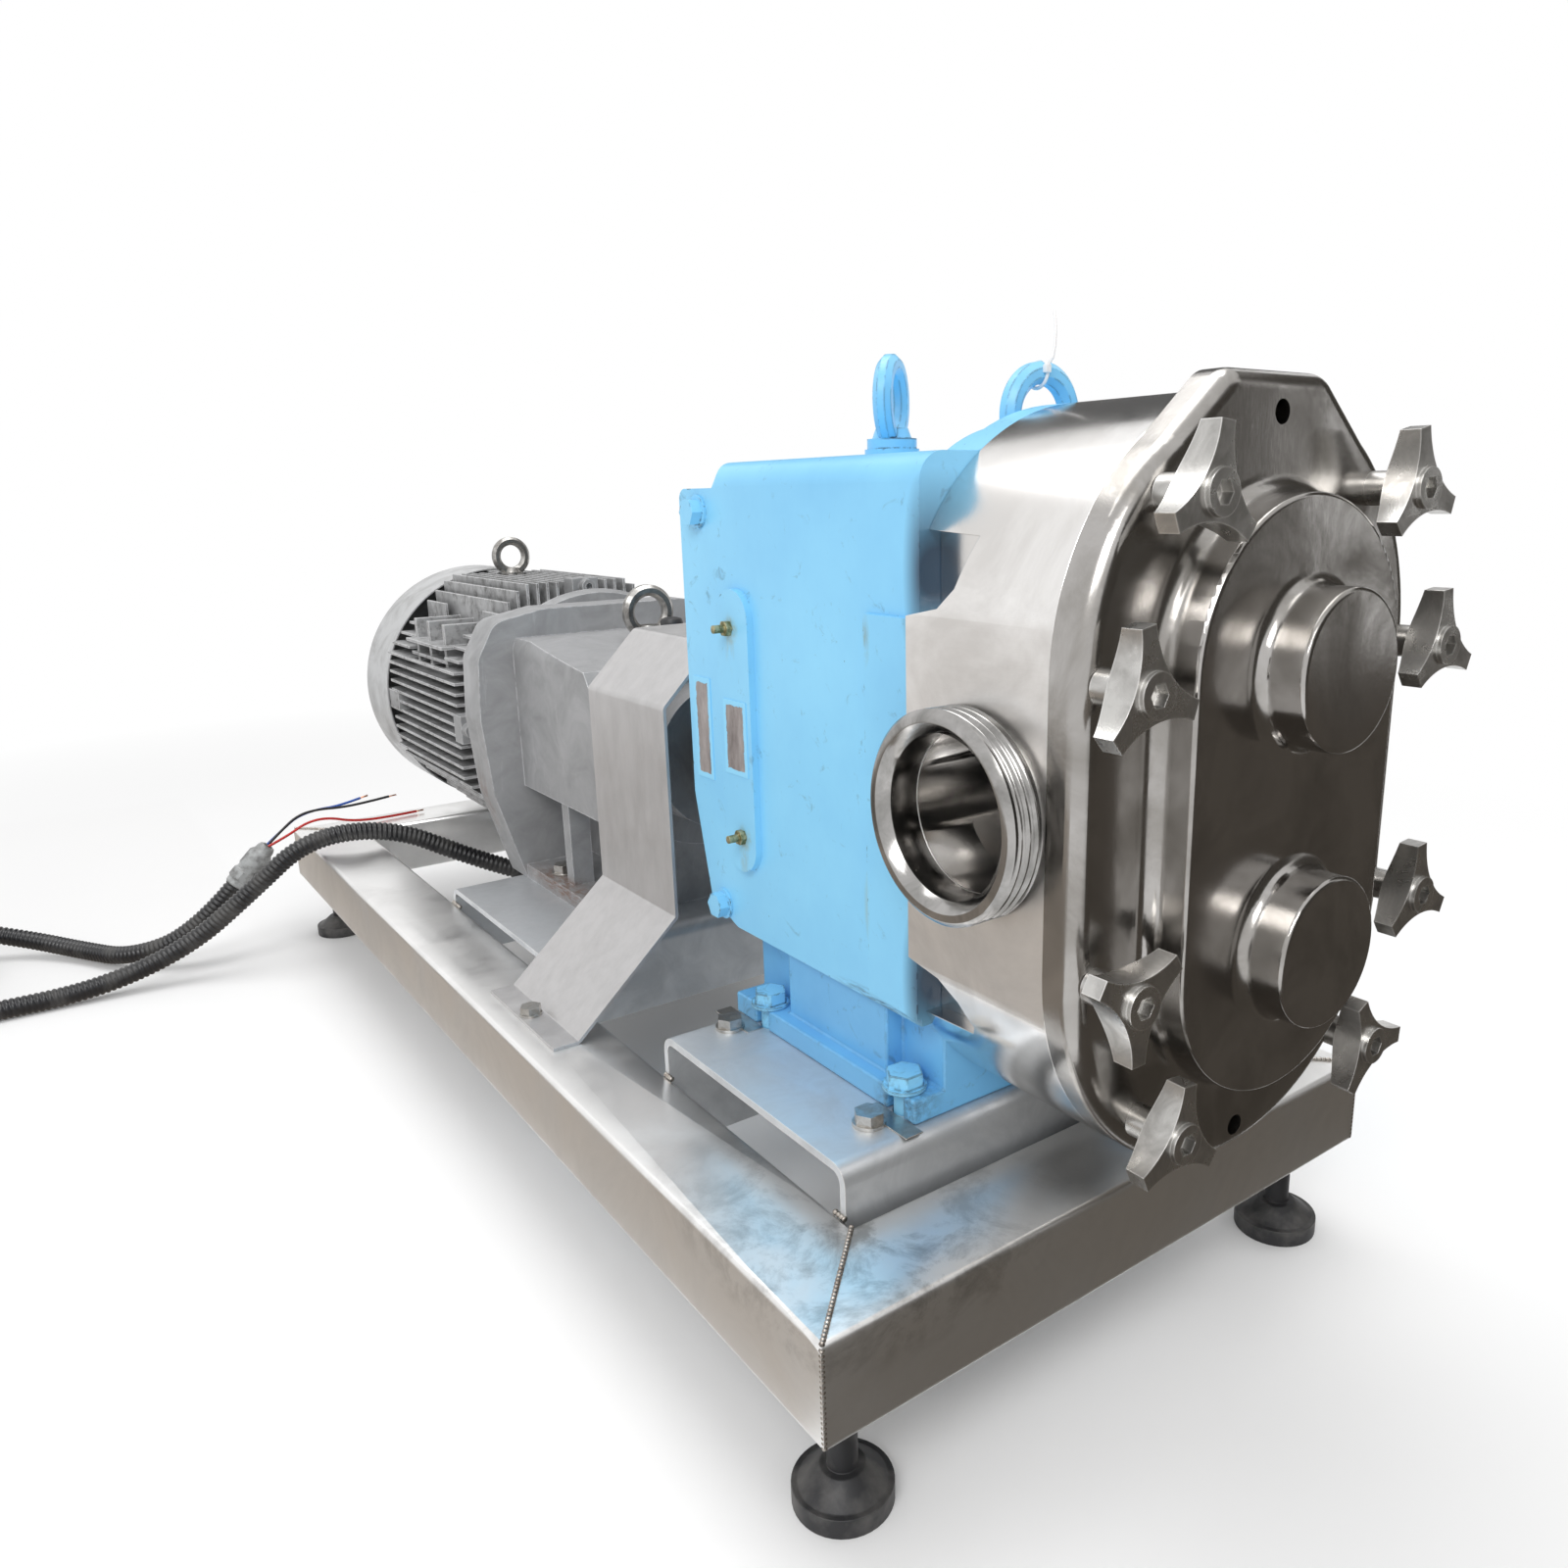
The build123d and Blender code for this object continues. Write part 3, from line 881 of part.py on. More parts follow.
# ================================================================ reducer
OFFSET_Z = LOW + REDUCER_CENTRES     # countershaft, above the output shaft
with BuildPart() as reducer_housing:
    seat = REDUCER_SEAT - MID_Z
    with BuildSketch(side(-REDUCER_HALF_W)):
        with BuildLine():
            Polyline(*REDUCER_ROOF, (REDUCER_FLANGE_FRONT, REDUCER_ROOF[-1][1]),
                     (REDUCER_FLANGE_FRONT, REDUCER_SIDE_LOW), (REDUCER_ROOF[0][0], REDUCER_SIDE_LOW),
                     close=True)
        make_face()
    extrude(amount=2 * REDUCER_HALF_W)
    with BuildSketch(section(REDUCER_FLANGE_FRONT)):
        with Locations((0, LOW)):
            RectangleRounded(2 * REDUCER_HALF_W, 2 * REDUCER_HALF_W, REDUCER_ROUND)
    extrude(amount=REDUCER_FLANGE_FRONT - REDUCER_ROOF[0][0], mode=Mode.INTERSECT)
    ring(LOW, REDUCER_BELLY_R, 0, REDUCER_ROOF[0][0], REDUCER_FLANGE_FRONT)
    ring(LOW, REDUCER_NOSE_R, 0, REDUCER_FRONT, REDUCER_ROOF[0][0])
    with BuildSketch(section(REDUCER_BACK)) as flange_outline:
        with BuildLine():
            Polyline(*REDUCER_FLANGE, *[(-x, z) for x, z in reversed(REDUCER_FLANGE)], close=True)
        make_face()
        fillet(flange_outline.vertices().sort_by(Axis.Y)[2:], radius=24)
    extrude(amount=REDUCER_FLANGE_T)
    box((-REDUCER_FOOT_HALF_W, REDUCER_FOOT_HALF_W), REDUCER_FOOT_SPAN, (seat, seat + REDUCER_SEAT_T))
    box((-REDUCER_KEEL_W / 2, REDUCER_KEEL_W / 2), (REDUCER_KEEL_FRONT, REDUCER_FLANGE_FRONT), (seat, LOW))
    for hand in (-1, 1):
        low, high = sorted((hand * REDUCER_RIB_X[0], hand * REDUCER_RIB_X[1]))
        box((low, high), REDUCER_RIB_SPAN, (seat, REDUCER_SIDE_LOW + 20))
    with BuildSketch(level(seat)):
        with Locations(*REDUCER_BOLTS):
            Circle(M14[-1] + BOLT_CLEARANCE)
    extrude(amount=REDUCER_SEAT_T, mode=Mode.SUBTRACT)
    slow_r = REDUCER_MODULE * (OUTPUT_GEAR_TEETH / 2 + 1) + GEAR_SPACE
    fast_r = REDUCER_MODULE * (COUNTER_GEAR_TEETH / 2 + 1) + GEAR_SPACE
    pinion_r = REDUCER_MODULE * (COUNTER_PINION_TEETH / 2 + 1) + GEAR_SPACE
    motor_pinion_r = REDUCER_MODULE * (MOTOR_PINION_TEETH / 2 + 1) + GEAR_SPACE
    bore(LOW, OUT_SHAFT_R + RUNNING_FIT, REDUCER_FRONT, SLOW_SPACE[1] + 22)
    bore(LOW, slow_r, *SLOW_SPACE)
    bore(OFFSET_Z, pinion_r, *SLOW_SPACE)
    bore(OFFSET_Z, COUNTER_SHAFT_R + RUNNING_FIT, SLOW_SPACE[0] - 24, FAST_SPACE[1] + 14)
    bore(OFFSET_Z, fast_r, *FAST_SPACE)
    bore(LOW, motor_pinion_r, FAST_SPACE[0], REDUCER_BACK)
save(reducer_housing, "reducer_housing")

with BuildPart() as output_shaft:
    ring(LOW, COUPLING_BORE_R, 0, SPIDER_FRONT + 4, REDUCER_FRONT - 4)
    ring(LOW, OUT_SHAFT_R, 0, REDUCER_FRONT - 4, SLOW_SPACE[1] + 20)
    gear(LOW, REDUCER_MODULE, OUTPUT_GEAR_TEETH, 90, *SLOW_GEARS)
save(output_shaft, "output_shaft")

with BuildPart() as countershaft:
    ring(OFFSET_Z, COUNTER_SHAFT_R, 0, SLOW_SPACE[0] - 22, FAST_SPACE[1] + 12)
    gear(OFFSET_Z, REDUCER_MODULE, COUNTER_PINION_TEETH, 270 + 180 / COUNTER_PINION_TEETH, *SLOW_GEARS)
    gear(OFFSET_Z, REDUCER_MODULE, COUNTER_GEAR_TEETH, 270, *FAST_GEARS)
save(countershaft, "countershaft")

with BuildPart() as reducer_bolts:
    hex_bolts(level(REDUCER_SEAT + REDUCER_SEAT_T - MID_Z), REDUCER_BOLTS, M14,
              REDUCER_SEAT_T + CHANNEL_T, nut_h=M14_NUT_H)
save(reducer_bolts, "reducer_bolts")

with BuildPart() as drive_eyes:
    eyebolt(REDUCER_EYE_Y, REDUCER_EYE_Z, EYE_M16, 0)
    eyebolt(MOTOR_EYE_Y, MOTOR_EYE_Z, EYE_M12, 0)
save(drive_eyes, "drive_eyes")

# ================================================================ motor
with BuildPart() as motor_flange:
    turned(LOW, [(MOTOR_SHAFT_R + RUNNING_FIT, MOTOR_FRONT), *BELL_PROFILE, (BELL_BACK_R, BODY_FRONT),
                 (MOTOR_SHAFT_R + RUNNING_FIT, BODY_FRONT)])
    with BuildSketch(section(BODY_FRONT, LOW)):
        with PolarLocations((LUG_R + BELL_BACK_R) / 2 - 1, 4):
            Rectangle(LUG_R - BELL_BACK_R + 2, LUG_W)
    extrude(amount=LUG_T)
    with BuildSketch(section(BODY_FRONT - LUG_T, LOW)):
        with PolarLocations(LUG_SCREW_R, 4):
            Circle(SCREW_HEAD_R)
    extrude(amount=SCREW_HEAD_H)
    with BuildSketch(section(BODY_FRONT - LUG_T - SCREW_HEAD_H, LOW)):
        with PolarLocations(LUG_SCREW_R, 4):
            RegularPolygon(SCREW_SOCKET_AF / 2, 6, major_radius=False)
    extrude(amount=-SCREW_HEAD_H / 2, mode=Mode.SUBTRACT)
save(motor_flange, "motor_flange")

with BuildPart() as motor_frame:
    with BuildSketch(section(BODY_BACK, LOW)):
        Circle(MOTOR_R)
        for n in range(-FIN_COUNT, FIN_COUNT + 1):
            out = n * FIN_PITCH
            tip = min(FIN_REACH, FIN_CORNER - abs(out))
            for x, z, w, h in ((-1, 0, 0, 0), (1, 0, 0, 0), (0, 1, 0, 0), (0, -1, 0, 0)):
                middle = (tip + ROTOR_R) / 2
                with Locations((x * middle + (out if z else 0), z * middle + (out if x else 0))):
                    Rectangle(tip - ROTOR_R if x else FIN_T, tip - ROTOR_R if z else FIN_T)
    extrude(amount=BODY_BACK - BODY_FRONT)
    with BuildSketch(section(BODY_BACK, LOW)):
        with PolarLocations((COWL_R - COWL_T + MOTOR_R) / 2 - COWL_FIT, 4):
            Rectangle(COWL_R - COWL_T - MOTOR_R, LUG_T)
    extrude(amount=COWL_LUG_L)
    with BuildSketch(section(COWL_FRONT + 14, LOW)):
        with PolarLocations((COWL_R - COWL_T + MOTOR_R + COWL_LUG_NECK) / 2 - COWL_FIT, 4):
            Rectangle(COWL_R - COWL_T - MOTOR_R - COWL_LUG_NECK, LUG_T)
    extrude(amount=COWL_FRONT + 14 - BODY_BACK)
    box((MOTOR_R - 6, FIN_REACH + 1), (BOX_SPAN[0] - 4, BOX_SPAN[1] + 4), (BOX_Z[0] - 4, BOX_Z[1] + 4),
        Mode.SUBTRACT)
    box((MOTOR_R - 30, BOX_X[0]), (BOX_SPAN[0] + 6, BOX_SPAN[1] - 6), (BOX_Z[0] + 8, BOX_Z[1] - 8))
    box((-SEAT_OUT, -MOTOR_R + 30), SEAT_SPAN, (SEAT_LEDGE_Z - 30, FIN_REACH + LOW + 1), Mode.SUBTRACT)
    box((-SEAT_OUT, -MOTOR_R + 30), SEAT_SPAN, (SEAT_LEDGE_Z - 4, SEAT_LEDGE_Z))
    box((-SEAT_OUT + 6, -MOTOR_R + 30), SEAT_SPAN, (SEAT_LEDGE_Z - 22, SEAT_LEDGE_Z - 18))
    for back in SEAT_RIBS:
        box((-SEAT_OUT + 10, -MOTOR_R + 60), (back, back + SEAT_RIB_T),
            (SEAT_LEDGE_Z - 30, SEAT_LEDGE_Z + 26))
    for half, z, mode in ((EYE_SEAT_HALF, (MOTOR_R + LOW - 10, MOTOR_EYE_Z), Mode.ADD),
                          (EYE_SEAT_HALF + 2, (MOTOR_EYE_Z, FIN_REACH + LOW + 1), Mode.SUBTRACT)):
        box((-half, half), (MOTOR_EYE_Y - half, MOTOR_EYE_Y + half), z, mode)
    bore(LOW, MOTOR_R - BODY_WALL, BODY_FRONT, BODY_BACK - REAR_WALL)
    bore(LOW, MOTOR_SHAFT_R + RUNNING_FIT, BODY_BACK - REAR_WALL, BODY_BACK)
save(motor_frame, "motor_frame")

with BuildPart() as stator:
    ring(LOW, MOTOR_R - BODY_WALL, ROTOR_R + AIR_GAP, STATOR_SPAN[0], STATOR_SPAN[1])
save(stator, "stator")

with BuildPart() as motor_shaft:
    turned(LOW, [(0, FAST_GEARS[0]), (PINION_SHAFT_R, FAST_GEARS[0]), (PINION_SHAFT_R, MOTOR_FRONT),
                 (MOTOR_SHAFT_R, MOTOR_FRONT), (MOTOR_SHAFT_R, STATOR_SPAN[0]), (ROTOR_R, STATOR_SPAN[0]),
                 (ROTOR_R, STATOR_SPAN[1]), (MOTOR_SHAFT_R, STATOR_SPAN[1]), (MOTOR_SHAFT_R, BODY_BACK),
                 (FAN_SHAFT_R, BODY_BACK), (FAN_SHAFT_R, FAN_SPAN[1]), (0, FAN_SPAN[1])])
    gear(LOW, REDUCER_MODULE, MOTOR_PINION_TEETH, 90 + 180 / MOTOR_PINION_TEETH, *FAST_GEARS)
save(motor_shaft, "motor_shaft")

with BuildPart() as fan:
    with BuildSketch(section(FAN_SPAN[1], LOW)):
        Circle(FAN_HUB_R)
        with PolarLocations((FAN_R + FAN_HUB_R) / 2 - 2, 8):
            Rectangle(FAN_R - FAN_HUB_R + 4, FAN_BLADE_T)
    extrude(amount=FAN_SPAN[1] - FAN_SPAN[0])
    ring(LOW, FAN_R, 0, FAN_SPAN[1] - FAN_BLADE_T, FAN_SPAN[1])
    bore(LOW, FAN_SHAFT_R + RUNNING_FIT, FAN_SPAN[0], FAN_SPAN[1])
save(fan, "fan")

with BuildPart() as fan_cowl:
    dome = [(COWL_R, COWL_FRONT), (COWL_R, COWL_BACK - 34), (COWL_R - 12, COWL_BACK - 12),
            (COWL_R - 40, COWL_BACK)]
    turned(LOW, dome + [(0, COWL_BACK), (0, COWL_BACK - COWL_T)]
           + [(r - COWL_T, y - (COWL_T if r < COWL_R else 0)) for r, y in reversed(dome)])
    with BuildSketch(section(COWL_BACK, LOW)):
        with PolarLocations(GRILLE_R, 24):
            SlotOverall(*GRILLE_SLOT)
    extrude(amount=COWL_T + 1, mode=Mode.SUBTRACT)
save(fan_cowl, "fan_cowl")

with BuildPart() as terminal_box:
    box(BOX_X, BOX_SPAN, BOX_Z)
    fillet(terminal_box.edges().filter_by(Axis.X), radius=14)
    with BuildSketch(level(BOX_Z[0] - OUTLET_L)):
        with Locations(BOX_OUTLET):
            Circle(CONDUIT_R + 2)
    extrude(amount=OUTLET_L)
save(terminal_box, "terminal_box")


# ================================================================ conduit and its bare wires
def route(points):
    """Route points as (x from the pump axis, station, height above the floor)."""
    return [Vector(HEAD_SIDE_OFFSET + x, COVER_FACE + y, z) for x, y, z in points]


def cord(points, radius, name):
    """Tube along straight runs joined by arcs as large as the runs allow."""
    bends = []
    for before, here, after in zip(points, points[1:], points[2:]):
        turn = (here - before).get_angle(after - here)
        shorter = min((here - before).length, (after - here).length)
        bends.append(0.45 * shorter / tan(radians(turn) / 2))
    with BuildLine() as path:
        FilletPolyline(*points, radius=bends)
    wire = path.wire()
    with BuildSketch(Plane(origin=wire @ 0, z_dir=wire % 0)) as end:
        Circle(radius)
    tube = sweep(end.sketch, path=wire)
    tight, length = min(bends), wire.length
    print(f"{name}: {length:.0f} long, tightest bend {tight:.0f},"
          f" volume {tube.volume / (pi * radius ** 2 * length):.4f} of section times length")


with BuildPart() as conduit_feed:
    cord(route([(*BOX_OUTLET, MID_Z + BOX_Z[0] - OUTLET_L)] + FEED_ROUTE + [COIL_IN]),
         CONDUIT_R, "conduit_feed")
save(conduit_feed, "conduit_feed")

with BuildPart() as conduit_return:
    cord(route([COIL_OUT] + RETURN_ROUTE + [GLAND_LOW]), CONDUIT_R, "conduit_return")
save(conduit_return, "conduit_return")

with BuildPart() as conduit_coil:
    with BuildSketch(Plane(origin=route([(COIL_X, COIL_Y, 0)])[0])):
        Circle(COIL_R + CONDUIT_R)
        Circle(COIL_R - CONDUIT_R, mode=Mode.SUBTRACT)
    extrude(amount=COIL_OUT[2] + CONDUIT_R)
save(conduit_coil, "conduit_coil")

with BuildPart() as conduit_gland:
    low_end, high_end = route([GLAND_LOW, GLAND_HIGH])
    lying = Plane(origin=low_end, z_dir=high_end - low_end)
    for start, end, radius in GLAND_STEPS:
        with BuildSketch(lying.offset(start)):
            Circle(radius)
        extrude(amount=end - start)
    with BuildSketch(lying.offset(GLAND_HEX[0])):
        RegularPolygon(GLAND_HEX[2] / 2, 6, major_radius=False)
    extrude(amount=GLAND_HEX[1] - GLAND_HEX[0])
save(conduit_gland, "conduit_gland")

with BuildPart() as conduit_wires:
    for colour, points in WIRE_ROUTES:
        cord(route(points), WIRE_R, colour)
save(conduit_wires, "conduit_wires")
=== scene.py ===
"""Skid-mounted rotary lobe pump: finishes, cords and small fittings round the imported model."""
import json
import math
import random

import bpy
from mathutils import Matrix, Vector


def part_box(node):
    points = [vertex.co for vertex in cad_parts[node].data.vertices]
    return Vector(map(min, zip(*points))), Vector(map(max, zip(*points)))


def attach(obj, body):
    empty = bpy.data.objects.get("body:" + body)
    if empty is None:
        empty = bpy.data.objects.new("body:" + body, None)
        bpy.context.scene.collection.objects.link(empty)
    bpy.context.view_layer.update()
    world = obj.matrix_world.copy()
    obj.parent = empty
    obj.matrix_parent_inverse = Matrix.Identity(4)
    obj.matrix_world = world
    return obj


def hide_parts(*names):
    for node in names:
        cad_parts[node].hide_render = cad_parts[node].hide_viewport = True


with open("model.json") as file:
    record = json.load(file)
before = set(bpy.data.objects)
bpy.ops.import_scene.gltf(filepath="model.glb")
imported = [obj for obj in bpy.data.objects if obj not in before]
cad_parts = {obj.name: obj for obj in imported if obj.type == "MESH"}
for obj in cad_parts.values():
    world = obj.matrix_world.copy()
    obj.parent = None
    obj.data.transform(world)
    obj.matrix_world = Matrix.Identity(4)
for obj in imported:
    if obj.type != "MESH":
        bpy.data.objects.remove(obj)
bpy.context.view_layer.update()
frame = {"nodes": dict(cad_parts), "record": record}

# ========== place of the unit
# Everything is placed from the head: the pump axis, the cover's face and the height midway
# between the two shafts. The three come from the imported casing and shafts.
MM = 0.001
COVER_THICKNESS = 25 * MM
casing_low, casing_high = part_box("casing")
upper_low, upper_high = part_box("driven_shaft")
lower_low, lower_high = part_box("drive_shaft")
PUMP_X = (casing_low[0] + casing_high[0]) / 2
FACE_Y = casing_low[1] - COVER_THICKNESS
DRIVE_Z = (lower_low[2] + lower_high[2]) / 2
MIDDLE_Z = ((upper_low[2] + upper_high[2]) / 2 + DRIVE_Z) / 2


def at(x, back, height):
    """Point in metres from millimetres right of the pump axis, behind the cover, above mid head."""
    return Vector((PUMP_X + x * MM, FACE_Y + back * MM, MIDDLE_Z + height * MM))


# ========== camera
# It stands at the left of the cover, a little above the shafts, and looks back along the unit.
CAMERA_SPOT = at(-602.9, -410.3, 185.6)
TURN, TILT, ROLL = math.radians(-36.6), math.radians(90 - 14.3), math.radians(-1.01)
LENS, SENSOR_WIDTH, SHIFT = 26.71, 36, (-0.0522, 0.0033)
NEAREST_SEEN = 20 * MM
bpy.ops.object.camera_add(location=CAMERA_SPOT)
camera = bpy.context.object
looking = Matrix.Rotation(TURN, 3, "Z") @ Matrix.Rotation(TILT, 3, "X") @ Matrix.Rotation(ROLL, 3, "Z")
camera.rotation_euler = looking.to_euler()
camera.data.lens = LENS
camera.data.sensor_width = SENSOR_WIDTH
camera.data.shift_x, camera.data.shift_y = SHIFT
camera.data.clip_start = NEAREST_SEEN
bpy.context.scene.camera = camera
bpy.context.scene.view_settings.view_transform = "Standard"


# ========== conduit to the motor
# Black spiral conduit, 25 mm thick: from the terminal box at the motor's right, under the
# motor, over the left rail, down to a coil on the floor and back up to its gland. Its finish
# is the first one mixed: a plain shader that gets noise, wear and relief by Object coordinates.
class Finish:
    def __init__(self, name, colour, metallic=0.0, roughness=0.5, **sockets):
        self.material = bpy.data.materials.new(name)
        self.material.use_nodes = True
        self.nodes, self.links = self.material.node_tree.nodes, self.material.node_tree.links
        self.shader = self.nodes["Principled BSDF"]
        self.set("Base Color", (*colour, 1))
        self.set("Metallic", metallic)
        self.set("Roughness", roughness)
        for socket, value in sockets.items():
            self.set(socket.replace("_", " "), value)
        self.place = self.nodes.new("ShaderNodeTexCoord").outputs["Object"]

    def set(self, socket, value):
        """Puts a value or another node's output on a socket of the shader."""
        self.feed(self.shader.inputs[socket], value)

    def feed(self, socket, value):
        if isinstance(value, bpy.types.NodeSocket):
            self.links.new(value, socket)
        elif isinstance(value, tuple) and len(value) == 3 and len(socket.default_value) == 4:
            socket.default_value = (*value, 1)
        else:
            socket.default_value = value

    def noise(self, size, detail=5.0, rough=0.55, stretch=(1, 1, 1), turn=(0, 0, 0), warp=0.0):
        """Noise whose features are about `size` metres, drawn out along an axis by `stretch`."""
        mapping = self.nodes.new("ShaderNodeMapping")
        self.links.new(self.place, mapping.inputs["Vector"])
        mapping.inputs["Rotation"].default_value = turn
        mapping.inputs["Scale"].default_value = [1 / (size * s) for s in stretch]
        pattern = self.nodes.new("ShaderNodeTexNoise")
        pattern.inputs["Scale"].default_value = 1.0
        pattern.inputs["Detail"].default_value = detail
        pattern.inputs["Roughness"].default_value = rough
        pattern.inputs["Distortion"].default_value = warp
        self.links.new(mapping.outputs["Vector"], pattern.inputs["Vector"])
        return pattern.outputs["Fac"]

    def scale(self, value, low, high, to_low=0.0, to_high=1.0):
        """Maps a value from one range to another, held at both ends."""
        node = self.nodes.new("ShaderNodeMapRange")
        self.feed(node.inputs["Value"], value)
        for socket, number in zip(("From Min", "From Max", "To Min", "To Max"), (low, high, to_low, to_high)):
            node.inputs[socket].default_value = number
        return node.outputs["Result"]

    def maths(self, operation, first, second=0.5):
        node = self.nodes.new("ShaderNodeMath")
        node.operation = operation
        self.feed(node.inputs[0], first)
        self.feed(node.inputs[1], second)
        return node.outputs[0]

    def blend(self, share, first, second):
        """Colour that goes from first to second as the share goes from 0 to 1."""
        node = self.nodes.new("ShaderNodeMix")
        node.data_type = "RGBA"
        self.feed(node.inputs[0], share)
        self.feed(node.inputs[6], first)
        self.feed(node.inputs[7], second)
        return node.outputs[2]

    def edges(self, reach):
        """Mask of the sharp edges within `reach` metres, 0 on the flat."""
        rounded = self.nodes.new("ShaderNodeBevel")
        rounded.samples = 6
        rounded.inputs["Radius"].default_value = reach
        plain = self.nodes.new("ShaderNodeNewGeometry")
        agree = self.nodes.new("ShaderNodeVectorMath")
        agree.operation = "DOT_PRODUCT"
        self.links.new(rounded.outputs["Normal"], agree.inputs[0])
        self.links.new(plain.outputs["Normal"], agree.inputs[1])
        return self.scale(agree.outputs["Value"], 0.995, 0.9)

    def near(self, spot, reach, stretch=(1, 1, 1)):
        """Mask round a point: 1 at the spot and 0 beyond `reach` metres."""
        mapping = self.nodes.new("ShaderNodeMapping")
        self.links.new(self.place, mapping.inputs["Vector"])
        mapping.vector_type = "TEXTURE"
        mapping.inputs["Location"].default_value = spot
        mapping.inputs["Scale"].default_value = stretch
        length = self.nodes.new("ShaderNodeVectorMath")
        length.operation = "LENGTH"
        self.links.new(mapping.outputs["Vector"], length.inputs[0])
        return self.scale(length.outputs["Value"], reach, reach * 0.25)

    def along(self, axis):
        """One of the three Object coordinates, in metres."""
        split = self.nodes.new("ShaderNodeSeparateXYZ")
        self.links.new(self.place, split.inputs[0])
        return split.outputs[axis]

    def relief(self, height, depth, strength=1.0):
        """Bump of about `depth` metres, laid over any relief put on before."""
        bump = self.nodes.new("ShaderNodeBump")
        bump.inputs["Distance"].default_value = depth
        bump.inputs["Strength"].default_value = strength
        self.feed(bump.inputs["Height"], height)
        normal = self.shader.inputs["Normal"]
        if normal.is_linked:
            self.links.new(normal.links[0].from_socket, bump.inputs["Normal"])
        self.links.new(bump.outputs["Normal"], normal)


def only(piece):
    """Deselects everything else and makes the piece active."""
    bpy.ops.object.select_all(action="DESELECT")
    piece.select_set(True)
    bpy.context.view_layer.objects.active = piece


def settle(piece, finish, body):
    """Gives a finished piece its material and its body."""
    piece.data.materials.clear()
    piece.data.materials.append(finish.material)
    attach(piece, body)


FLOOR = -MIDDLE_Z / MM
CONDUIT_RADIUS, CONDUIT_PITCH, CONDUIT_RIDGE = 12.5 * MM, 6.4 * MM, 1.7 * MM
BOX_EXIT = (183, 1140, 273.6)
FEED_ROUTE = [(178, 1140, 218.6), (128, 1142, 142.6), (70, 1150, 95), (-25, 1162, 84),
              (-118, 1190, 128), (-205, 1226, 178.5), (-310, 1242, 180.5), (-385, 1268, 112),
              (-462, 1290, 48), (-570, 1300, 12.7), (-700, 1304, 12.7)]
COIL_X, COIL_Y, COIL_RADIUS, COIL_TURNS, COIL_STEPS = -850, 1437.5, 137.5, 2.5, 14
RETURN_ROUTE = [(-745, 1573, 62), (-640, 1545, 26), (-575, 1470, 14.5), (-527, 1384, 18),
                (-452, 1341, 45.4), (-393, 1335, 106.6)]


def floor_points(route):
    """Points given as right of the pump axis, behind the cover and above the floor."""
    return [at(x, back, FLOOR + height) for x, back, height in route]


def smooth_line(name, points):
    """Open NURBS line through the region of its points, with its ends on the end points."""
    curve = bpy.data.curves.new(name, "CURVE")
    curve.dimensions = "3D"
    spline = curve.splines.new("NURBS")
    spline.points.add(len(points) - 1)
    for place, point in zip(spline.points, points):
        place.co = (*point, 1)
    spline.order_u = 3
    spline.use_endpoint_u = True
    spline.resolution_u = 16
    line = bpy.data.objects.new(name, curve)
    bpy.context.scene.collection.objects.link(line)
    return line


def line_points(line, spacing):
    """Points every `spacing` metres along a smooth line."""
    bpy.context.view_layer.update()
    mesh = bpy.data.meshes.new_from_object(line.evaluated_get(bpy.context.evaluated_depsgraph_get()))
    fine = [vertex.co.copy() for vertex in mesh.vertices]
    bpy.data.meshes.remove(mesh)
    lengths = [0.0]
    for here, after in zip(fine, fine[1:]):
        lengths.append(lengths[-1] + (after - here).length)
    count = max(2, round(lengths[-1] / spacing))
    points, segment = [], 0
    for step in range(count + 1):
        reached = lengths[-1] * step / count
        while segment < len(fine) - 2 and lengths[segment + 1] < reached:
            segment += 1
        share = (reached - lengths[segment]) / max(lengths[segment + 1] - lengths[segment], 1e-9)
        points.append(fine[segment].lerp(fine[segment + 1], min(share, 1.0)))
    return points, lengths[-1]


def tube_along(name, points, radius_at, sides):
    """Tube mesh round a line of points; radius_at gives its radius from distance and angle."""
    vertices, faces = [], []
    across = (points[1] - points[0]).orthogonal().normalized()
    travelled = 0.0
    for index, point in enumerate(points):
        ahead = points[min(index + 1, len(points) - 1)] - points[max(index - 1, 0)]
        ahead.normalize()
        across = (across - ahead * across.dot(ahead)).normalized()
        beside = ahead.cross(across)
        if index:
            travelled += (point - points[index - 1]).length
        for side in range(sides):
            angle = 2 * math.pi * side / sides
            reach = radius_at(travelled, angle)
            vertices.append(point + (across * math.cos(angle) + beside * math.sin(angle)) * reach)
    for ring in range(len(points) - 1):
        for side in range(sides):
            after = (side + 1) % sides
            faces.append((ring * sides + side, ring * sides + after,
                          (ring + 1) * sides + after, (ring + 1) * sides + side))
    faces.append(tuple(reversed(range(sides))))
    faces.append(tuple(range((len(points) - 1) * sides, len(points) * sides)))
    mesh = bpy.data.meshes.new(name)
    mesh.from_pydata(vertices, [], faces)
    mesh.update()
    piece = bpy.data.objects.new(name, mesh)
    bpy.context.scene.collection.objects.link(piece)
    only(piece)
    bpy.ops.object.shade_smooth()
    return piece


def conduit_radius(distance, angle):
    """Spiral ridge round the conduit."""
    phase = 2 * math.pi * distance / CONDUIT_PITCH - angle
    return CONDUIT_RADIUS - CONDUIT_RIDGE * (0.5 - 0.5 * math.cos(phase)) ** 2


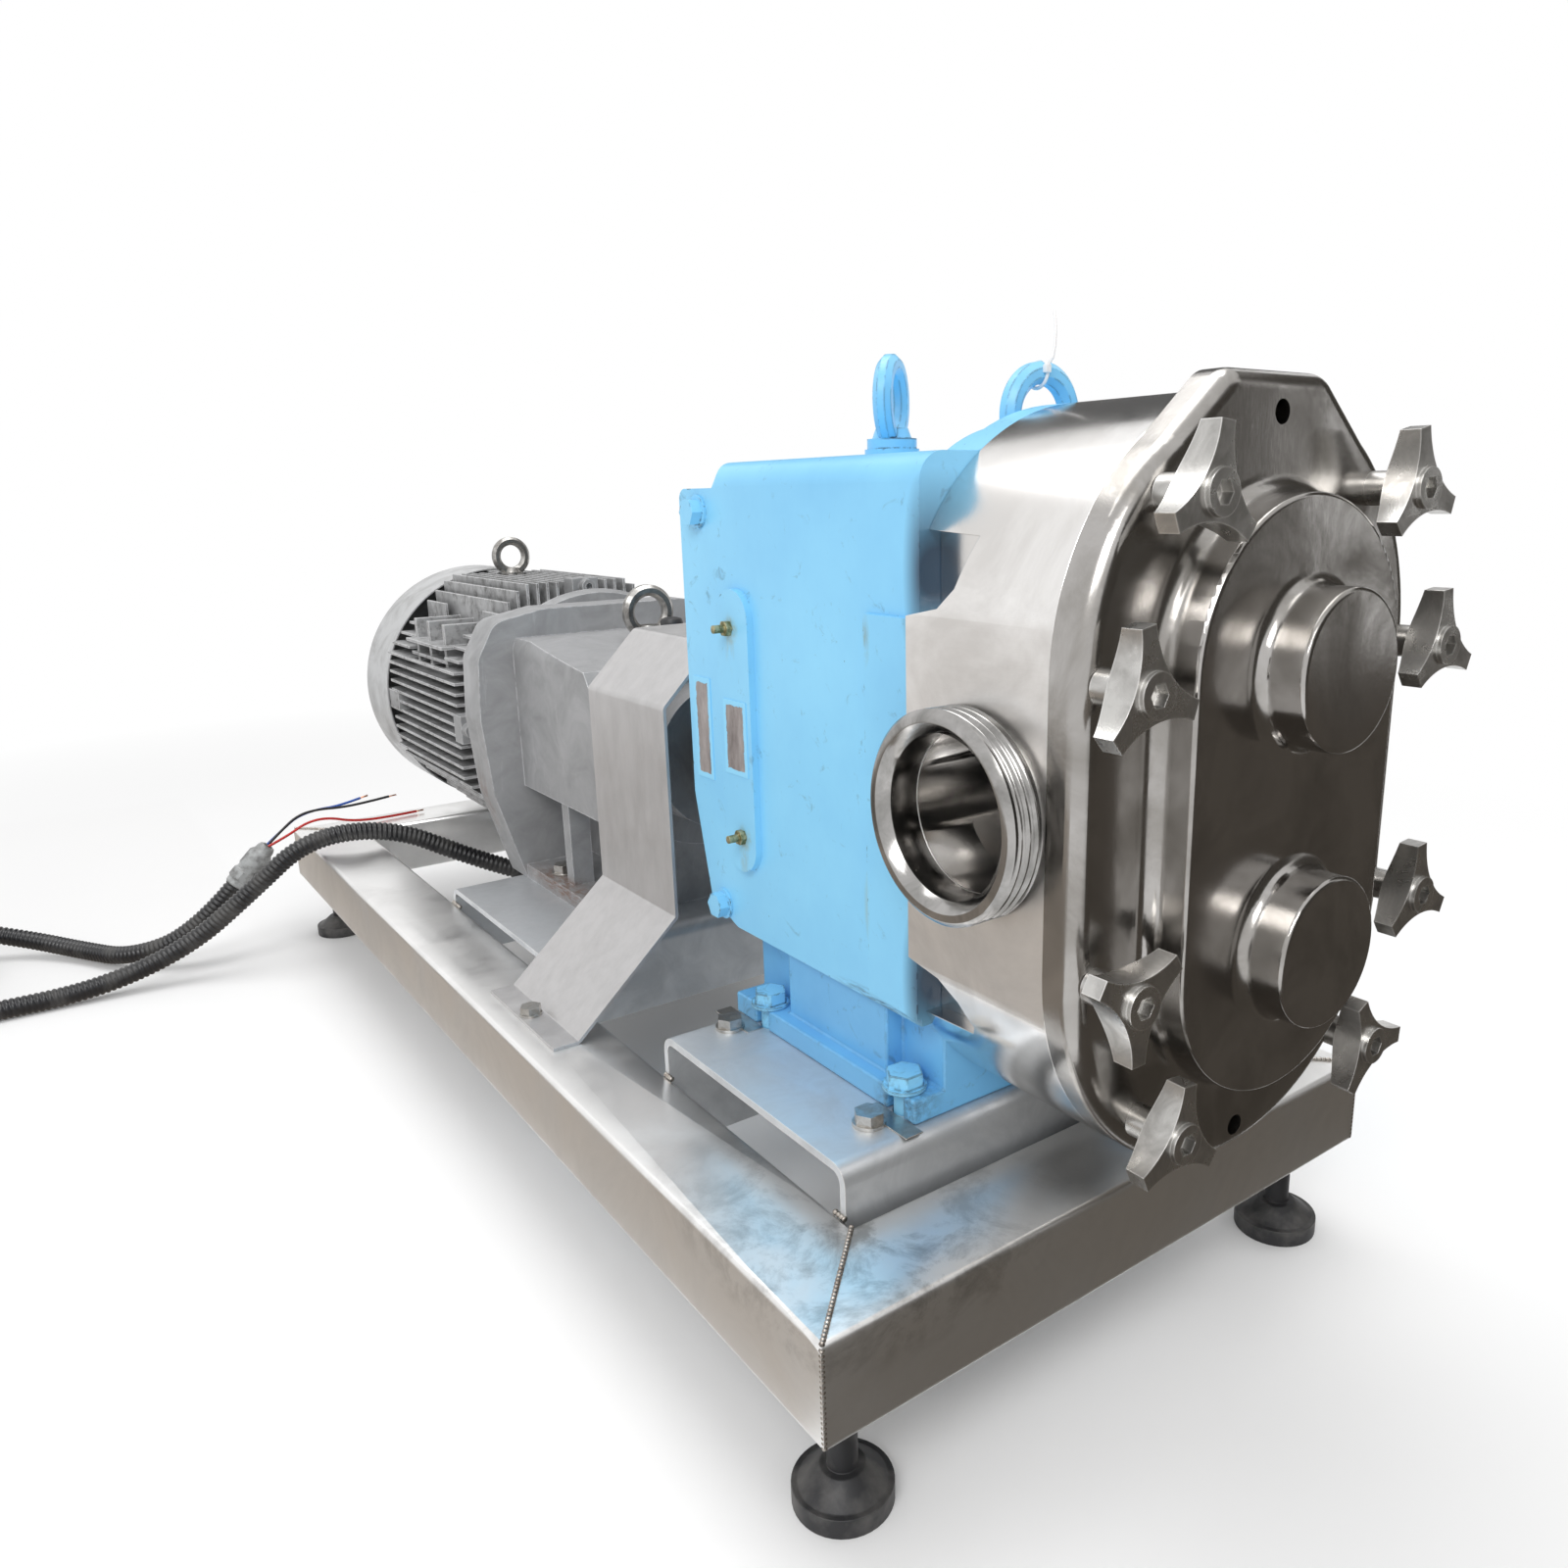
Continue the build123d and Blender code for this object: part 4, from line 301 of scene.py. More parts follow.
conduit_route = floor_points([BOX_EXIT] + FEED_ROUTE)
half_thickness = CONDUIT_RADIUS / MM
for step in range(int(COIL_TURNS * COIL_STEPS) + 1):
    turned = 2 * math.pi * step / COIL_STEPS
    conduit_route += floor_points([(COIL_X - COIL_RADIUS * math.sin(turned),
                                    COIL_Y - COIL_RADIUS * math.cos(turned),
                                    half_thickness * (1 + 2 * step / COIL_STEPS))])
conduit_route += floor_points(RETURN_ROUTE)
conduit_line = smooth_line("conduit_line", conduit_route)
conduit_points, conduit_length = line_points(conduit_line, CONDUIT_PITCH / 6)
bpy.data.objects.remove(conduit_line)
conduit = tube_along("conduit", conduit_points, conduit_radius, 12)

conduit_black = Finish("conduit_black", (0.016, 0.016, 0.018), roughness=0.38, Specular_IOR_Level=0.6)
dust = conduit_black.scale(conduit_black.noise(0.04, 4), 0.45, 0.75)
conduit_black.set("Base Color", conduit_black.blend(dust, (0.012, 0.012, 0.014), (0.075, 0.072, 0.068)))
conduit_black.set("Roughness", conduit_black.scale(dust, 0, 1, 0.3, 0.62))
settle(conduit, conduit_black, "skid")
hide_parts("conduit_feed", "conduit_coil", "conduit_return")

# ========== conduit gland
# Grey nylon gland screwed on the conduit's loose end: ribbed grip, hexagon and a nose
# from which the bare wires come out.
GLAND_LOW, GLAND_HIGH = floor_points([(-393, 1335, 106.6), (-345, 1330, 156.6)])
GLAND_PROFILE = [(0, 13.2), (1.5, 14.6), (8, 14.6), (9, 15.4), (11, 16.0), (23, 16.0), (24.5, 14.6),
                 (28, 14.4), (31, 15.4), (52, 15.4), (55, 14.2), (57, 12.4), (63, 11.6), (67, 9.6),
                 (68.5, 6.5), (66, 4.5)]
gland_axis = (GLAND_HIGH - GLAND_LOW).normalized()


def soften(piece, width, segments, angle):
    """Breaks the sharp edges and smooths the faces between them."""
    only(piece)
    if width:
        bevel = piece.modifiers.new("broken_edges", "BEVEL")
        bevel.width, bevel.segments, bevel.limit_method = width, segments, "ANGLE"
        bevel.angle_limit = math.radians(angle)
        bpy.ops.object.modifier_apply(modifier=bevel.name)
    bpy.ops.object.shade_smooth_by_angle(angle=math.radians(angle + 3))
    if width:
        flat = piece.modifiers.new("flat_faces", "WEIGHTED_NORMAL")
        flat.keep_sharp, flat.weight = True, 100
        bpy.ops.object.modifier_apply(modifier=flat.name)


def profile_tube(name, start, direction, profile, sides):
    """Turned piece on an axis: profile rows are (distance along, radius) in millimetres."""
    points = [start + direction * along * MM for along, _ in profile]
    radii = iter([radius * MM for _, radius in profile for _ in range(sides)])
    piece = tube_along(name, points, lambda travelled, angle: next(radii), sides)
    soften(piece, 0, 1, 28)
    return piece


gland = profile_tube("gland", GLAND_LOW, gland_axis, GLAND_PROFILE, 36)
HEXAGON, HEXAGON_SPREAD = (10.5, 23.5), 1.13
GRIP, GRIP_DEPTH, GRIP_RIBS = (30.5, 52.5), 0.035, 18
for vertex in gland.data.vertices:
    along = (vertex.co - GLAND_LOW).dot(gland_axis) / MM
    out = vertex.co - GLAND_LOW - gland_axis * along * MM
    around = math.atan2(out.dot(gland_axis.orthogonal().normalized()),
                        out.dot(gland_axis.cross(gland_axis.orthogonal()).normalized()))
    if HEXAGON[0] < along < HEXAGON[1]:
        flat = math.cos(math.pi / 6) / math.cos((around % (math.pi / 3)) - math.pi / 6)
        vertex.co += out * (HEXAGON_SPREAD * flat - 1)
    elif GRIP[0] < along < GRIP[1]:
        vertex.co += out * GRIP_DEPTH * math.cos(GRIP_RIBS * around)
soften(gland, 0, 1, 30)
gland_grey = Finish("gland_grey", (0.34, 0.35, 0.35), roughness=0.42)
gland_dirt = gland_grey.scale(gland_grey.noise(0.012, 6), 0.42, 0.7)
gland_grey.set("Base Color", gland_grey.blend(gland_dirt, (0.42, 0.43, 0.43), (0.13, 0.125, 0.12)))
gland_grey.relief(gland_grey.noise(0.002, 3), 0.1 * MM, 0.4)
settle(gland, gland_grey, "skid")
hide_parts("conduit_gland")

# Tapered strain relief where the conduit leaves the terminal box.
RELIEF_PROFILE = [(-2, 17.5), (5, 17.5), (6, 16.6), (28, 14.0), (30, 12.8)]
relief_start, relief_end = conduit_route[0], conduit_route[1]
relief_axis = (relief_end - relief_start).normalized()
strain_relief = profile_tube("strain_relief", relief_start, relief_axis, RELIEF_PROFILE, 36)
settle(strain_relief, gland_grey, "skid")

# ========== motor wires
# Three insulated wires, blue, black and red, hang out of the gland over the rear rail; their
# last millimetres are stripped and the copper strands fan out a little.
WIRE_DIAMETER, STRAND_RADIUS = 3.6 * MM, 0.32 * MM
WIRES = (
    ("blue", (0.02, 0.09, 0.42), [(-346, 1334.5, 156.2), (-321, 1346, 172), (-300, 1357, 183),
                                  (-272, 1368, 186), (-240, 1376, 184), (-208, 1380, 190)]),
    ("black", (0.014, 0.014, 0.016), [(-344, 1329.5, 158.4), (-325, 1338, 172), (-301, 1347, 187),
                                      (-273, 1356, 189), (-240, 1361, 185), (-206, 1365, 185.5),
                                      (-170, 1370, 188)]),
    ("red", (0.52, 0.018, 0.014), [(-347, 1325, 155.2), (-318, 1334, 164), (-292, 1342, 176),
                                   (-262, 1349, 176.5), (-227, 1356, 163), (-180, 1361, 159),
                                   (-134, 1366, 159.5)]),
)
copper = Finish("stripped_copper", (0.75, 0.33, 0.16), metallic=1.0, roughness=0.32)
copper.set("Roughness", copper.scale(copper.noise(0.002, 3), 0.3, 0.7, 0.2, 0.5))
for colour, shade, route in WIRES:
    points = floor_points(route)
    wire = smooth_line(f"wire_{colour}", points)
    wire.data.bevel_depth = WIRE_DIAMETER / 2
    wire.data.bevel_resolution = 5
    wire.data.use_fill_caps = True
    insulation = Finish(f"insulation_{colour}", shade, roughness=0.34)
    insulation.set("Roughness", insulation.scale(insulation.noise(0.01, 3), 0.3, 0.7, 0.26, 0.5))
    insulation.relief(insulation.noise(0.004, 2), 0.1 * MM, 0.3)
    settle(wire, insulation, "skid")
    tip, heading = points[-1], (points[-1] - points[-2]).normalized()
    strands = []
    for strand in range(7):
        spread = random.Random(f"{colour}{strand}")
        lean = Vector((spread.uniform(-0.12, 0.12), spread.uniform(-0.12, 0.12), spread.uniform(-0.12, 0.12)))
        offset = heading.orthogonal().normalized() * 0.7 * MM if strand else Vector()
        offset.rotate(Matrix.Rotation(strand * math.pi / 3, 3, heading))
        start = tip - heading * 2 * MM + offset
        middle = start + (heading + lean * 0.3) * 7 * MM
        end = middle + (heading + lean) * 6 * MM
        strands.append(tube_along(f"strand_{colour}_{strand}", [start, middle, end],
                                  lambda travelled, angle: STRAND_RADIUS, 6))
    only(strands[0])
    for strand in strands:
        strand.select_set(True)
    bpy.ops.object.join()
    ends = bpy.context.object
    ends.name = ends.data.name = f"copper_{colour}"
    settle(ends, copper, "skid")
    bpy.context.view_layer.update()
    _, wire_length = line_points(smooth_line("measured_wire", points), WIRE_DIAMETER)
    bpy.data.objects.remove(bpy.data.objects["measured_wire"])
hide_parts("conduit_wires")

# ========== pump cover
# Thick stainless plate with a raised pad over both lobes and a dome over each rotor nut. It is
# polished but handled: dull patches, fine upright scratches and a slightly pitted skin.
def stainless(name, light, dark, smooth, rough, patch=0.07):
    """Stainless steel with dull patches: two tones and two roughnesses, mixed by slow noise."""
    finish = Finish(name, light, metallic=1.0, roughness=smooth)
    film = finish.scale(finish.noise(patch, 6, 0.6, warp=0.6), 0.38, 0.64)
    finish.set("Base Color", finish.blend(film, light, dark))
    finish.set("Roughness", finish.scale(film, 0, 1, smooth, rough))
    finish.film = film
    return finish


cover_steel = stainless("cover_steel", (0.46, 0.445, 0.43), (0.30, 0.285, 0.265), 0.13, 0.27)
cover_steel.relief(cover_steel.noise(0.0009, 3, stretch=(1, 1, 14)), 0.05 * MM, 0.35)
cover_steel.relief(cover_steel.noise(0.0035, 4), 0.12 * MM, 0.25)
cover_steel.relief(cover_steel.noise(0.065, 2), 1.1 * MM, 0.25)


BODY_OF = {node: body for body, nodes in frame["record"]["behaviour"]["bodies"].items() for node in nodes}
SLOT_OF = {row["node"]: row["material_slot"] for row in frame["record"]["subparts"]}


def merged(node):
    """Copy of a CAD node, its points merged and its flat faces joined up."""
    source = frame["nodes"][node]
    piece = source.copy()
    piece.data = source.data.copy()
    piece.name = piece.data.name = f"{node}_finished"
    piece.parent = None
    piece.matrix_world = Matrix()
    bpy.context.scene.collection.objects.link(piece)
    only(piece)
    bpy.ops.object.mode_set(mode="EDIT")
    bpy.ops.mesh.select_all(action="SELECT")
    bpy.ops.mesh.remove_doubles(threshold=0.01 * MM)
    bpy.ops.mesh.dissolve_limited(angle_limit=math.radians(0.4))
    bpy.ops.object.mode_set(mode="OBJECT")
    return piece


def round_edges(piece, chosen, width, segments):
    """Rounds the edges whose two end points pass the test."""
    weights = piece.data.attributes.new("bevel_weight_edge", "FLOAT", "EDGE")
    points = piece.data.vertices
    for edge in piece.data.edges:
        if chosen(points[edge.vertices[0]].co, points[edge.vertices[1]].co):
            weights.data[edge.index].value = 1.0
    only(piece)
    rounding = piece.modifiers.new("rounded", "BEVEL")
    rounding.limit_method, rounding.width, rounding.segments = "WEIGHT", width, segments
    bpy.ops.object.modifier_apply(modifier=rounding.name)
    piece.data.attributes.remove(piece.data.attributes["bevel_weight_edge"])


def dress(node, finish, width=0.8 * MM, segments=2, angle=32, rounded=None):
    """Merged copy of a CAD node with its edges broken, standing for the node."""
    piece = merged(node)
    if rounded:
        round_edges(piece, *rounded)
    soften(piece, width, segments, angle)
    settle(piece, finish, BODY_OF[node])
    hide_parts(node)
    return piece


dress("cover", cover_steel, 1.1 * MM, 3)

# ========== rotor casing
# Turned round the top and bottom and ground flat at the sides: fine rings run round the
# curved skin, and straight scratches run backwards over the flats round the ports.
FLAT_SIDE = 153.4 * MM
casing_steel = stainless("casing_steel", (0.90, 0.885, 0.87), (0.70, 0.68, 0.66), 0.11, 0.20, 0.09)
side = casing_steel.maths("ABSOLUTE", casing_steel.maths("SUBTRACT", casing_steel.along(0), PUMP_X))
on_flat = casing_steel.scale(side, FLAT_SIDE - 0.3 * MM, FLAT_SIDE)
turned = casing_steel.noise(0.0010, 3, stretch=(70, 1, 70))
ground = casing_steel.noise(0.0009, 4, stretch=(1, 45, 1), turn=(0.05, 0, 0))
off_flat = casing_steel.maths("SUBTRACT", 1.0, on_flat)
marks = casing_steel.maths("ADD", casing_steel.maths("MULTIPLY", turned, off_flat),
                           casing_steel.maths("MULTIPLY", ground, on_flat))
casing_steel.relief(marks, 0.06 * MM, 0.5)
smeared = casing_steel.scale(casing_steel.film, 0, 1, 0.12, 0.20)
scratched = casing_steel.maths("MULTIPLY", on_flat, 0.20)
casing_steel.set("Roughness", casing_steel.maths("ADD", smeared, scratched))
dress("casing", casing_steel, 1.0 * MM, 3)


def coat(nodes, finish):
    """Puts a finish on CAD nodes that stay as they are."""
    for node in nodes:
        mesh = frame["nodes"][node].data
        mesh.materials.clear()
        mesh.materials.append(finish.material)


gasket_rubber = Finish("gasket_rubber", (0.02, 0.02, 0.02), roughness=0.7)
coat(["cover_gasket"], gasket_rubber)

# ========== union ports
# Round thread on the outside, cut as a helix, and a bright bevelled mouth round the bore.
PORT_BACK, PORT_RISE, PORT_SEAT = 90.2, 0.0, 154.3
THREAD_PITCH, THREAD_DEPTH, THREAD_CREST = 6.35, 3.1, 65.0
THREAD_START, THREAD_END = 4.2, 24.7


def spun(name, centre, axis, outline, sides, ripple):
    """Turned piece: a closed outline of (distance along, radius) in mm, spun round the axis.

    ripple gives what is added to the radius at a place (along, angle, radius), in mm.
    """
    across = axis.orthogonal().normalized()
    beside = axis.cross(across)
    bpy.ops.object.select_all(action="DESELECT")
    bpy.ops.mesh.primitive_circle_add(vertices=len(outline), location=(0, 0, 0))
    piece = bpy.context.object
    piece.name = piece.data.name = name
    for vertex, (along, radius) in zip(piece.data.vertices, outline):
        vertex.co = centre + (axis * along + across * radius) * MM
    bpy.ops.object.mode_set(mode="EDIT")
    bpy.ops.mesh.select_all(action="SELECT")
    bpy.ops.mesh.spin(steps=sides, angle=2 * math.pi, center=centre, axis=axis)
    bpy.ops.mesh.select_all(action="SELECT")
    bpy.ops.mesh.remove_doubles(threshold=0.001 * MM)
    bpy.ops.mesh.normals_make_consistent(inside=False)
    bpy.ops.object.mode_set(mode="OBJECT")
    for vertex in piece.data.vertices:
        place = (vertex.co - centre) / MM
        along = place.dot(axis)
        out = place - axis * along
        if out.length > 0.01:
            angle = math.atan2(out.dot(beside), out.dot(across))
            vertex.co += out.normalized() * ripple(along, angle, out.length) * MM
    soften(piece, 0, 1, 30)
    return piece


def thread(along, angle, radius):
    """Helical trough of the round thread, fading out at both ends."""
    if radius < THREAD_CREST - 0.1 or not THREAD_START <= along <= THREAD_END:
        return 0.0
    fade = min(1.0, (along - THREAD_START) / 1.2, (THREAD_END - along) / 1.2)
    return -THREAD_DEPTH * fade * (0.5 - 0.5 * math.cos(2 * math.pi * along / THREAD_PITCH - angle))


THREAD_ROWS = 48
port_outline = [(0, 50), (20.4, 50), (21.2, 50.3), (27.2, 56.4), (27.7, 57.0), (27.7, 61.2), (27.4, 62.0)]
port_outline += [(THREAD_END - row * (THREAD_END - THREAD_START) / THREAD_ROWS, THREAD_CREST)
                 for row in range(THREAD_ROWS + 1)]
port_outline += [(4.0, 64.6), (4.0, 61), (0, 61)]
port_steel = stainless("port_steel", (0.44, 0.43, 0.42), (0.25, 0.245, 0.235), 0.11, 0.24, 0.03)
port_steel.relief(port_steel.noise(0.0012, 3, stretch=(1, 40, 40)), 0.07 * MM, 0.6)
for hand, name in ((-1, "port_left"), (1, "port_right")):
    port = spun(f"{name}_threaded", at(hand * PORT_SEAT, PORT_BACK, PORT_RISE), Vector((hand, 0, 0)),
                port_outline, 128, thread)
    settle(port, port_steel, "skid")
    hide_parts(name)

# ========== wing nuts and studs
# Eight cast three-winged nuts with a hexagon socket; satin skin, edges rubbed bright.
nut_steel = stainless("nut_steel", (0.62, 0.61, 0.59), (0.43, 0.42, 0.405), 0.24, 0.38, 0.02)
nut_rub = nut_steel.edges(1.6 * MM)
nut_tone = nut_steel.blend(nut_steel.film, (0.60, 0.59, 0.57), (0.40, 0.39, 0.375))
nut_steel.set("Base Color", nut_steel.blend(nut_rub, nut_tone, (0.80, 0.79, 0.77)))
nut_steel.relief(nut_steel.noise(0.0016, 4), 0.14 * MM, 0.45)
for number in range(1, 9):
    dress(f"wing_nut_{number}", nut_steel, 1.3 * MM, 3, 24)
stud_steel = stainless("stud_steel", (0.52, 0.51, 0.50), (0.36, 0.35, 0.34), 0.2, 0.34, 0.02)
stud_steel.relief(stud_steel.noise(0.0012, 1, stretch=(60, 1, 60)), 0.2 * MM, 0.8)
dress("cover_studs", stud_steel, 0.3 * MM, 1)


# ========== gear case
# Cast housing in thick light-blue brush paint: soft edges with chips down to dark metal, grease
# round the nipples and a run of old grease below the pad by the port. The front ring seen through
# the casing's four windows is darkened as painted shade.
PAINT_BLUE, PAINT_SHADE = (0.27, 0.66, 0.93), (0.20, 0.54, 0.84)
GREASE, DARK_IRON = (0.30, 0.32, 0.17), (0.028, 0.020, 0.016)


def blue_paint(name, chips=0.66, grime=0.6, lit=PAINT_BLUE, shaded=PAINT_SHADE):
    """Light-blue enamel over iron: brush marks, grime in patches and chipped edges."""
    finish = Finish(name, lit, roughness=0.34, Specular_IOR_Level=0.5)
    cloud = finish.scale(finish.noise(0.16, 5, 0.6), 0.3, 0.75)
    colour = finish.blend(cloud, lit, shaded)
    soot = finish.scale(finish.noise(0.022, 9, 0.72, warp=0.8), grime, grime + 0.13)
    colour = finish.blend(finish.maths("MULTIPLY", soot, 0.55), colour, (0.075, 0.10, 0.12))
    knocked = finish.scale(finish.noise(0.013, 8, 0.7), chips - 0.16, chips - 0.1)
    worn = finish.maths("MULTIPLY", finish.edges(2.6 * MM), knocked)
    pock = finish.scale(finish.noise(0.006, 3, 0.5), 0.77, 0.79)
    pocked = finish.maths("MULTIPLY", pock, finish.scale(finish.noise(0.09, 2), 0.5, 0.6))
    finish.chip = finish.maths("MAXIMUM", worn, pocked)
    finish.colour = finish.blend(finish.chip, colour, DARK_IRON)
    finish.set("Base Color", finish.colour)
    finish.set("Roughness", finish.scale(finish.maths("MAXIMUM", finish.chip, soot), 0, 1, 0.33, 0.62))
    finish.relief(finish.noise(0.011, 3, stretch=(1, 1, 3)), 0.5 * MM, 0.32)
    finish.relief(finish.maths("SUBTRACT", 1.0, finish.chip), 0.25 * MM, 0.8)
    return finish


def stain_and_shade(finish, spot, reach, stretch, shade, strength=0.9, grain=0.012):
    """Patch of colour laid over a finish round a point, ragged unless it has no grain; it lays real stains
    and also painted shade.
    """
    mask = finish.near(spot, reach, stretch)
    if grain:
        ragged = finish.scale(finish.noise(grain, 7, 0.7, stretch=stretch), 0.40, 0.60)
        mask = finish.maths("MULTIPLY", mask, ragged)
    finish.colour = finish.blend(finish.maths("MULTIPLY", mask, strength), finish.colour, shade)
    finish.set("Base Color", finish.colour)


case_paint = blue_paint("gear_case_paint", 0.74)
for back, height in ((375, 86), (367, -80)):
    stain_and_shade(case_paint, at(-147, back - 3, height - 1), 12 * MM, (1, 1, 1), GREASE)
    stain_and_shade(case_paint, at(-147, back, height - 13), 12 * MM, (1, 0.7, 2.2), GREASE, 0.5)
stain_and_shade(case_paint, at(-148, 204, 92), 9 * MM, (1, 0.9, 2.4), (0.22, 0.26, 0.16), 0.85)
stain_and_shade(case_paint, at(-148, 208, -96), 8 * MM, (1, 0.9, 4.5), (0.38, 0.38, 0.12), 0.8)
stain_and_shade(case_paint, at(-147, 425, 173), 20 * MM, (1, 1, 1), DARK_IRON, 0.5, 0.005)
# Painted shade: dark blue laid over the front ring behind the casing's four windows, which sit in shadow.
for height in (137, -134):
    for across in (-128, 128):
        stain_and_shade(case_paint, at(across, 148, height), 64 * MM, (1, 0.3, 1), (0.02, 0.045, 0.085), 0.97, 0)
stain_and_shade(case_paint, at(-143, 200, -165), 22 * MM, (1, 2.6, 0.35), (0.04, 0.06, 0.09), 0.8, 0.005)
CASE_TOP, CASE_SIDE, CASE_SHOULDER = 210.0, 143.0, 24 * MM
shoulder = (at(0, 0, CASE_TOP).z, CASE_SIDE * MM)


def on_shoulder(start, end):
    """The two long upper corners of the case."""
    return all(abs(point.z - shoulder[0]) < 0.2 * MM and abs(abs(point.x - PUMP_X) - shoulder[1]) < 0.2 * MM
               for point in (start, end)) and abs(start.y - end.y) > 0.05


dress("gear_case", case_paint, 2.6 * MM, 4, 30, (on_shoulder, CASE_SHOULDER, 8))
dress("gear_cover", blue_paint("gear_cover_paint"), 1.6 * MM, 3)

# ========== plugs, nipples and lifting eyes
# Painted over with the case, but bare again where a spanner or a hook has been.
plug_paint = blue_paint("plug_paint", 0.70, 0.62)
dress("case_bolts", plug_paint, 0.9 * MM, 2)
nipple_steel = Finish("nipple_steel", (0.42, 0.38, 0.24), metallic=0.8, roughness=0.42)
nipple_grease = nipple_steel.scale(nipple_steel.noise(0.004, 4), 0.42, 0.6)
nipple_steel.set("Base Color", nipple_steel.blend(nipple_grease, (0.45, 0.40, 0.24), (0.16, 0.16, 0.07)))
dress("grease_nipples", nipple_steel, 0.3 * MM, 2)
eye_paint = blue_paint("eye_paint", 0.62, 0.66)
for spot, reach in (((-2, 368, 276), 11), ((-6, 368, 264), 7), ((3, 366, 268), 6)):
    stain_and_shade(eye_paint, at(*spot), reach * MM, (1, 1, 1.3), (0.012, 0.010, 0.010), 1.0, 0.007)
pump_eyes = dress("pump_eyes", eye_paint, 0.4 * MM, 2, 40)
REAR_EYE, EYE_HEADING = at(0, 358, 0), math.radians(57)
ring = [vertex for vertex in pump_eyes.data.vertices if vertex.co.y > at(0, 300, 0).y]
top = max(ring, key=lambda vertex: (vertex.co.xy - REAR_EYE.xy).length).co - REAR_EYE
swing = Matrix.Rotation(math.atan2(top.x, top.y) - EYE_HEADING, 3, "Z")
for vertex in ring:
    vertex.co = REAR_EYE + swing @ (vertex.co - REAR_EYE)

# ========== name plates
# Two bare plates on the left of the case, masked off when it was painted: brushed metal with a
# ragged rim of paint. They carry nothing.
PLATES = (("name_plate_rear", 419, 446, -44, 41, -143.0), ("name_plate_front", 354, 388, -30, 30, -149.0))
PLATE_THICKNESS, PLATE_SINK = 1.0, 0.2
PAINT_OVERLAP = 6.5 * MM, 1 * MM      # where the ragged paint begins and is whole, from the edge


def block(name, middle, size):
    """Box with its size in millimetres, round a middle point."""
    bpy.ops.object.select_all(action="DESELECT")
    bpy.ops.mesh.primitive_cube_add(size=1, location=middle)
    piece = bpy.context.object
    piece.name = piece.data.name = name
    piece.scale = [side * MM for side in size]
    bpy.ops.object.transform_apply(location=True, rotation=True, scale=True)
    return piece


for name, front, back, low, high, skin in PLATES:
    middle = at(skin - PLATE_THICKNESS / 2 + PLATE_SINK, (front + back) / 2, (low + high) / 2)
    plate = block(name, middle, (PLATE_THICKNESS, back - front, high - low))
    soften(plate, 0.25 * MM, 2, 30)
    metal = Finish(f"{name}_metal", (0.40, 0.36, 0.35), metallic=0.55, roughness=0.42)
    inside = []
    for axis, half in ((1, (back - front) * MM / 2), (2, (high - low) * MM / 2)):
        offset = metal.maths("ABSOLUTE", metal.maths("SUBTRACT", metal.along(axis), middle[axis]))
        inside.append(metal.scale(offset, half - PAINT_OVERLAP[0], half - PAINT_OVERLAP[1]))
    rim = metal.maths("MAXIMUM", *inside)
    painted = metal.scale(metal.maths("ADD", rim, metal.noise(0.009, 6, 0.7)), 0.88, 0.94)
    smear = metal.scale(metal.noise(0.014, 6, 0.7, stretch=(1, 1, 3)), 0.35, 0.7)
    bare = metal.blend(smear, (0.46, 0.42, 0.41), (0.22, 0.19, 0.185))
    metal.set("Base Color", metal.blend(painted, bare, PAINT_BLUE))
    metal.set("Metallic", metal.scale(painted, 0, 1, 0.55, 0.0))
    metal.relief(painted, 0.3 * MM, 0.8)
    settle(plate, metal, "skid")

# ========== cable tie
# White nylon tie left on the front eye: a loop round the ring, its lock and a long upright tail.
TIE_EYE = (-2, 192, 262)
nylon = Finish("nylon", (0.86, 0.84, 0.83), roughness=0.35)
nylon.set("Roughness", nylon.scale(nylon.noise(0.006, 3), 0.3, 0.7, 0.28, 0.5))
TIE_REACH, TIE_STEPS = (1.5, 8.6, 9.2), 32
TIE_TAIL = ((-3, 183.5, 266), (0, 181, 272), (3, 182, 280), (5.5, 184, 289), (7, 186, 297), (8.6, 189, 303))
tie_loop = []
for step in range(TIE_STEPS + 1):
    turn = 2 * math.pi * step / TIE_STEPS
    shares = (math.sin(turn), math.cos(turn), math.sin(turn))
    tie_loop.append(at(*(middle + reach * share for middle, reach, share in zip(TIE_EYE, TIE_REACH, shares))))
tie_tail = [at(*spot) for spot in TIE_TAIL]
loop = tube_along("tie_loop", tie_loop, lambda travelled, angle: 1.25 * MM, 10)
tail = tube_along("tie_tail", tie_tail, lambda travelled, angle: (1.2 - 9 * travelled) * MM, 10)
lock = block("cable_tie", at(-3, 183, 265), (4.8, 4.2, 5.4))
soften(lock, 0.7 * MM, 2, 30)
only(lock)
loop.select_set(True)
tail.select_set(True)
bpy.ops.object.join()
settle(lock, nylon, "skid")

# ========== mounting foot and its bolts
# Foot and bolts in the case's blue paint, scuffed, on thin bare shims; the foot's tones are made darker as
# painted shade.
foot_paint_in_painted_shade = blue_paint("foot_paint_in_painted_shade", 0.60, 0.58, (0.19, 0.52, 0.83), (0.12, 0.38, 0.70))
for x, back in ((-146, 168), (146, 168)):
    stain_and_shade(foot_paint_in_painted_shade, at(x, back, -228), 30 * MM, (1, 1, 0.8), DARK_IRON, 0.9, 0.006)
dress("mounting_foot", foot_paint_in_painted_shade, 2.0 * MM, 3)
dress("foot_bolts", blue_paint("bolt_paint", 0.57, 0.54), 0.9 * MM, 2)
SHIM, FOOT_SEAT = (15.0, 52.0, 0.9), -238.6
shim_steel = stainless("shim_steel", (0.60, 0.58, 0.55), (0.40, 0.38, 0.35), 0.28, 0.42, 0.015)
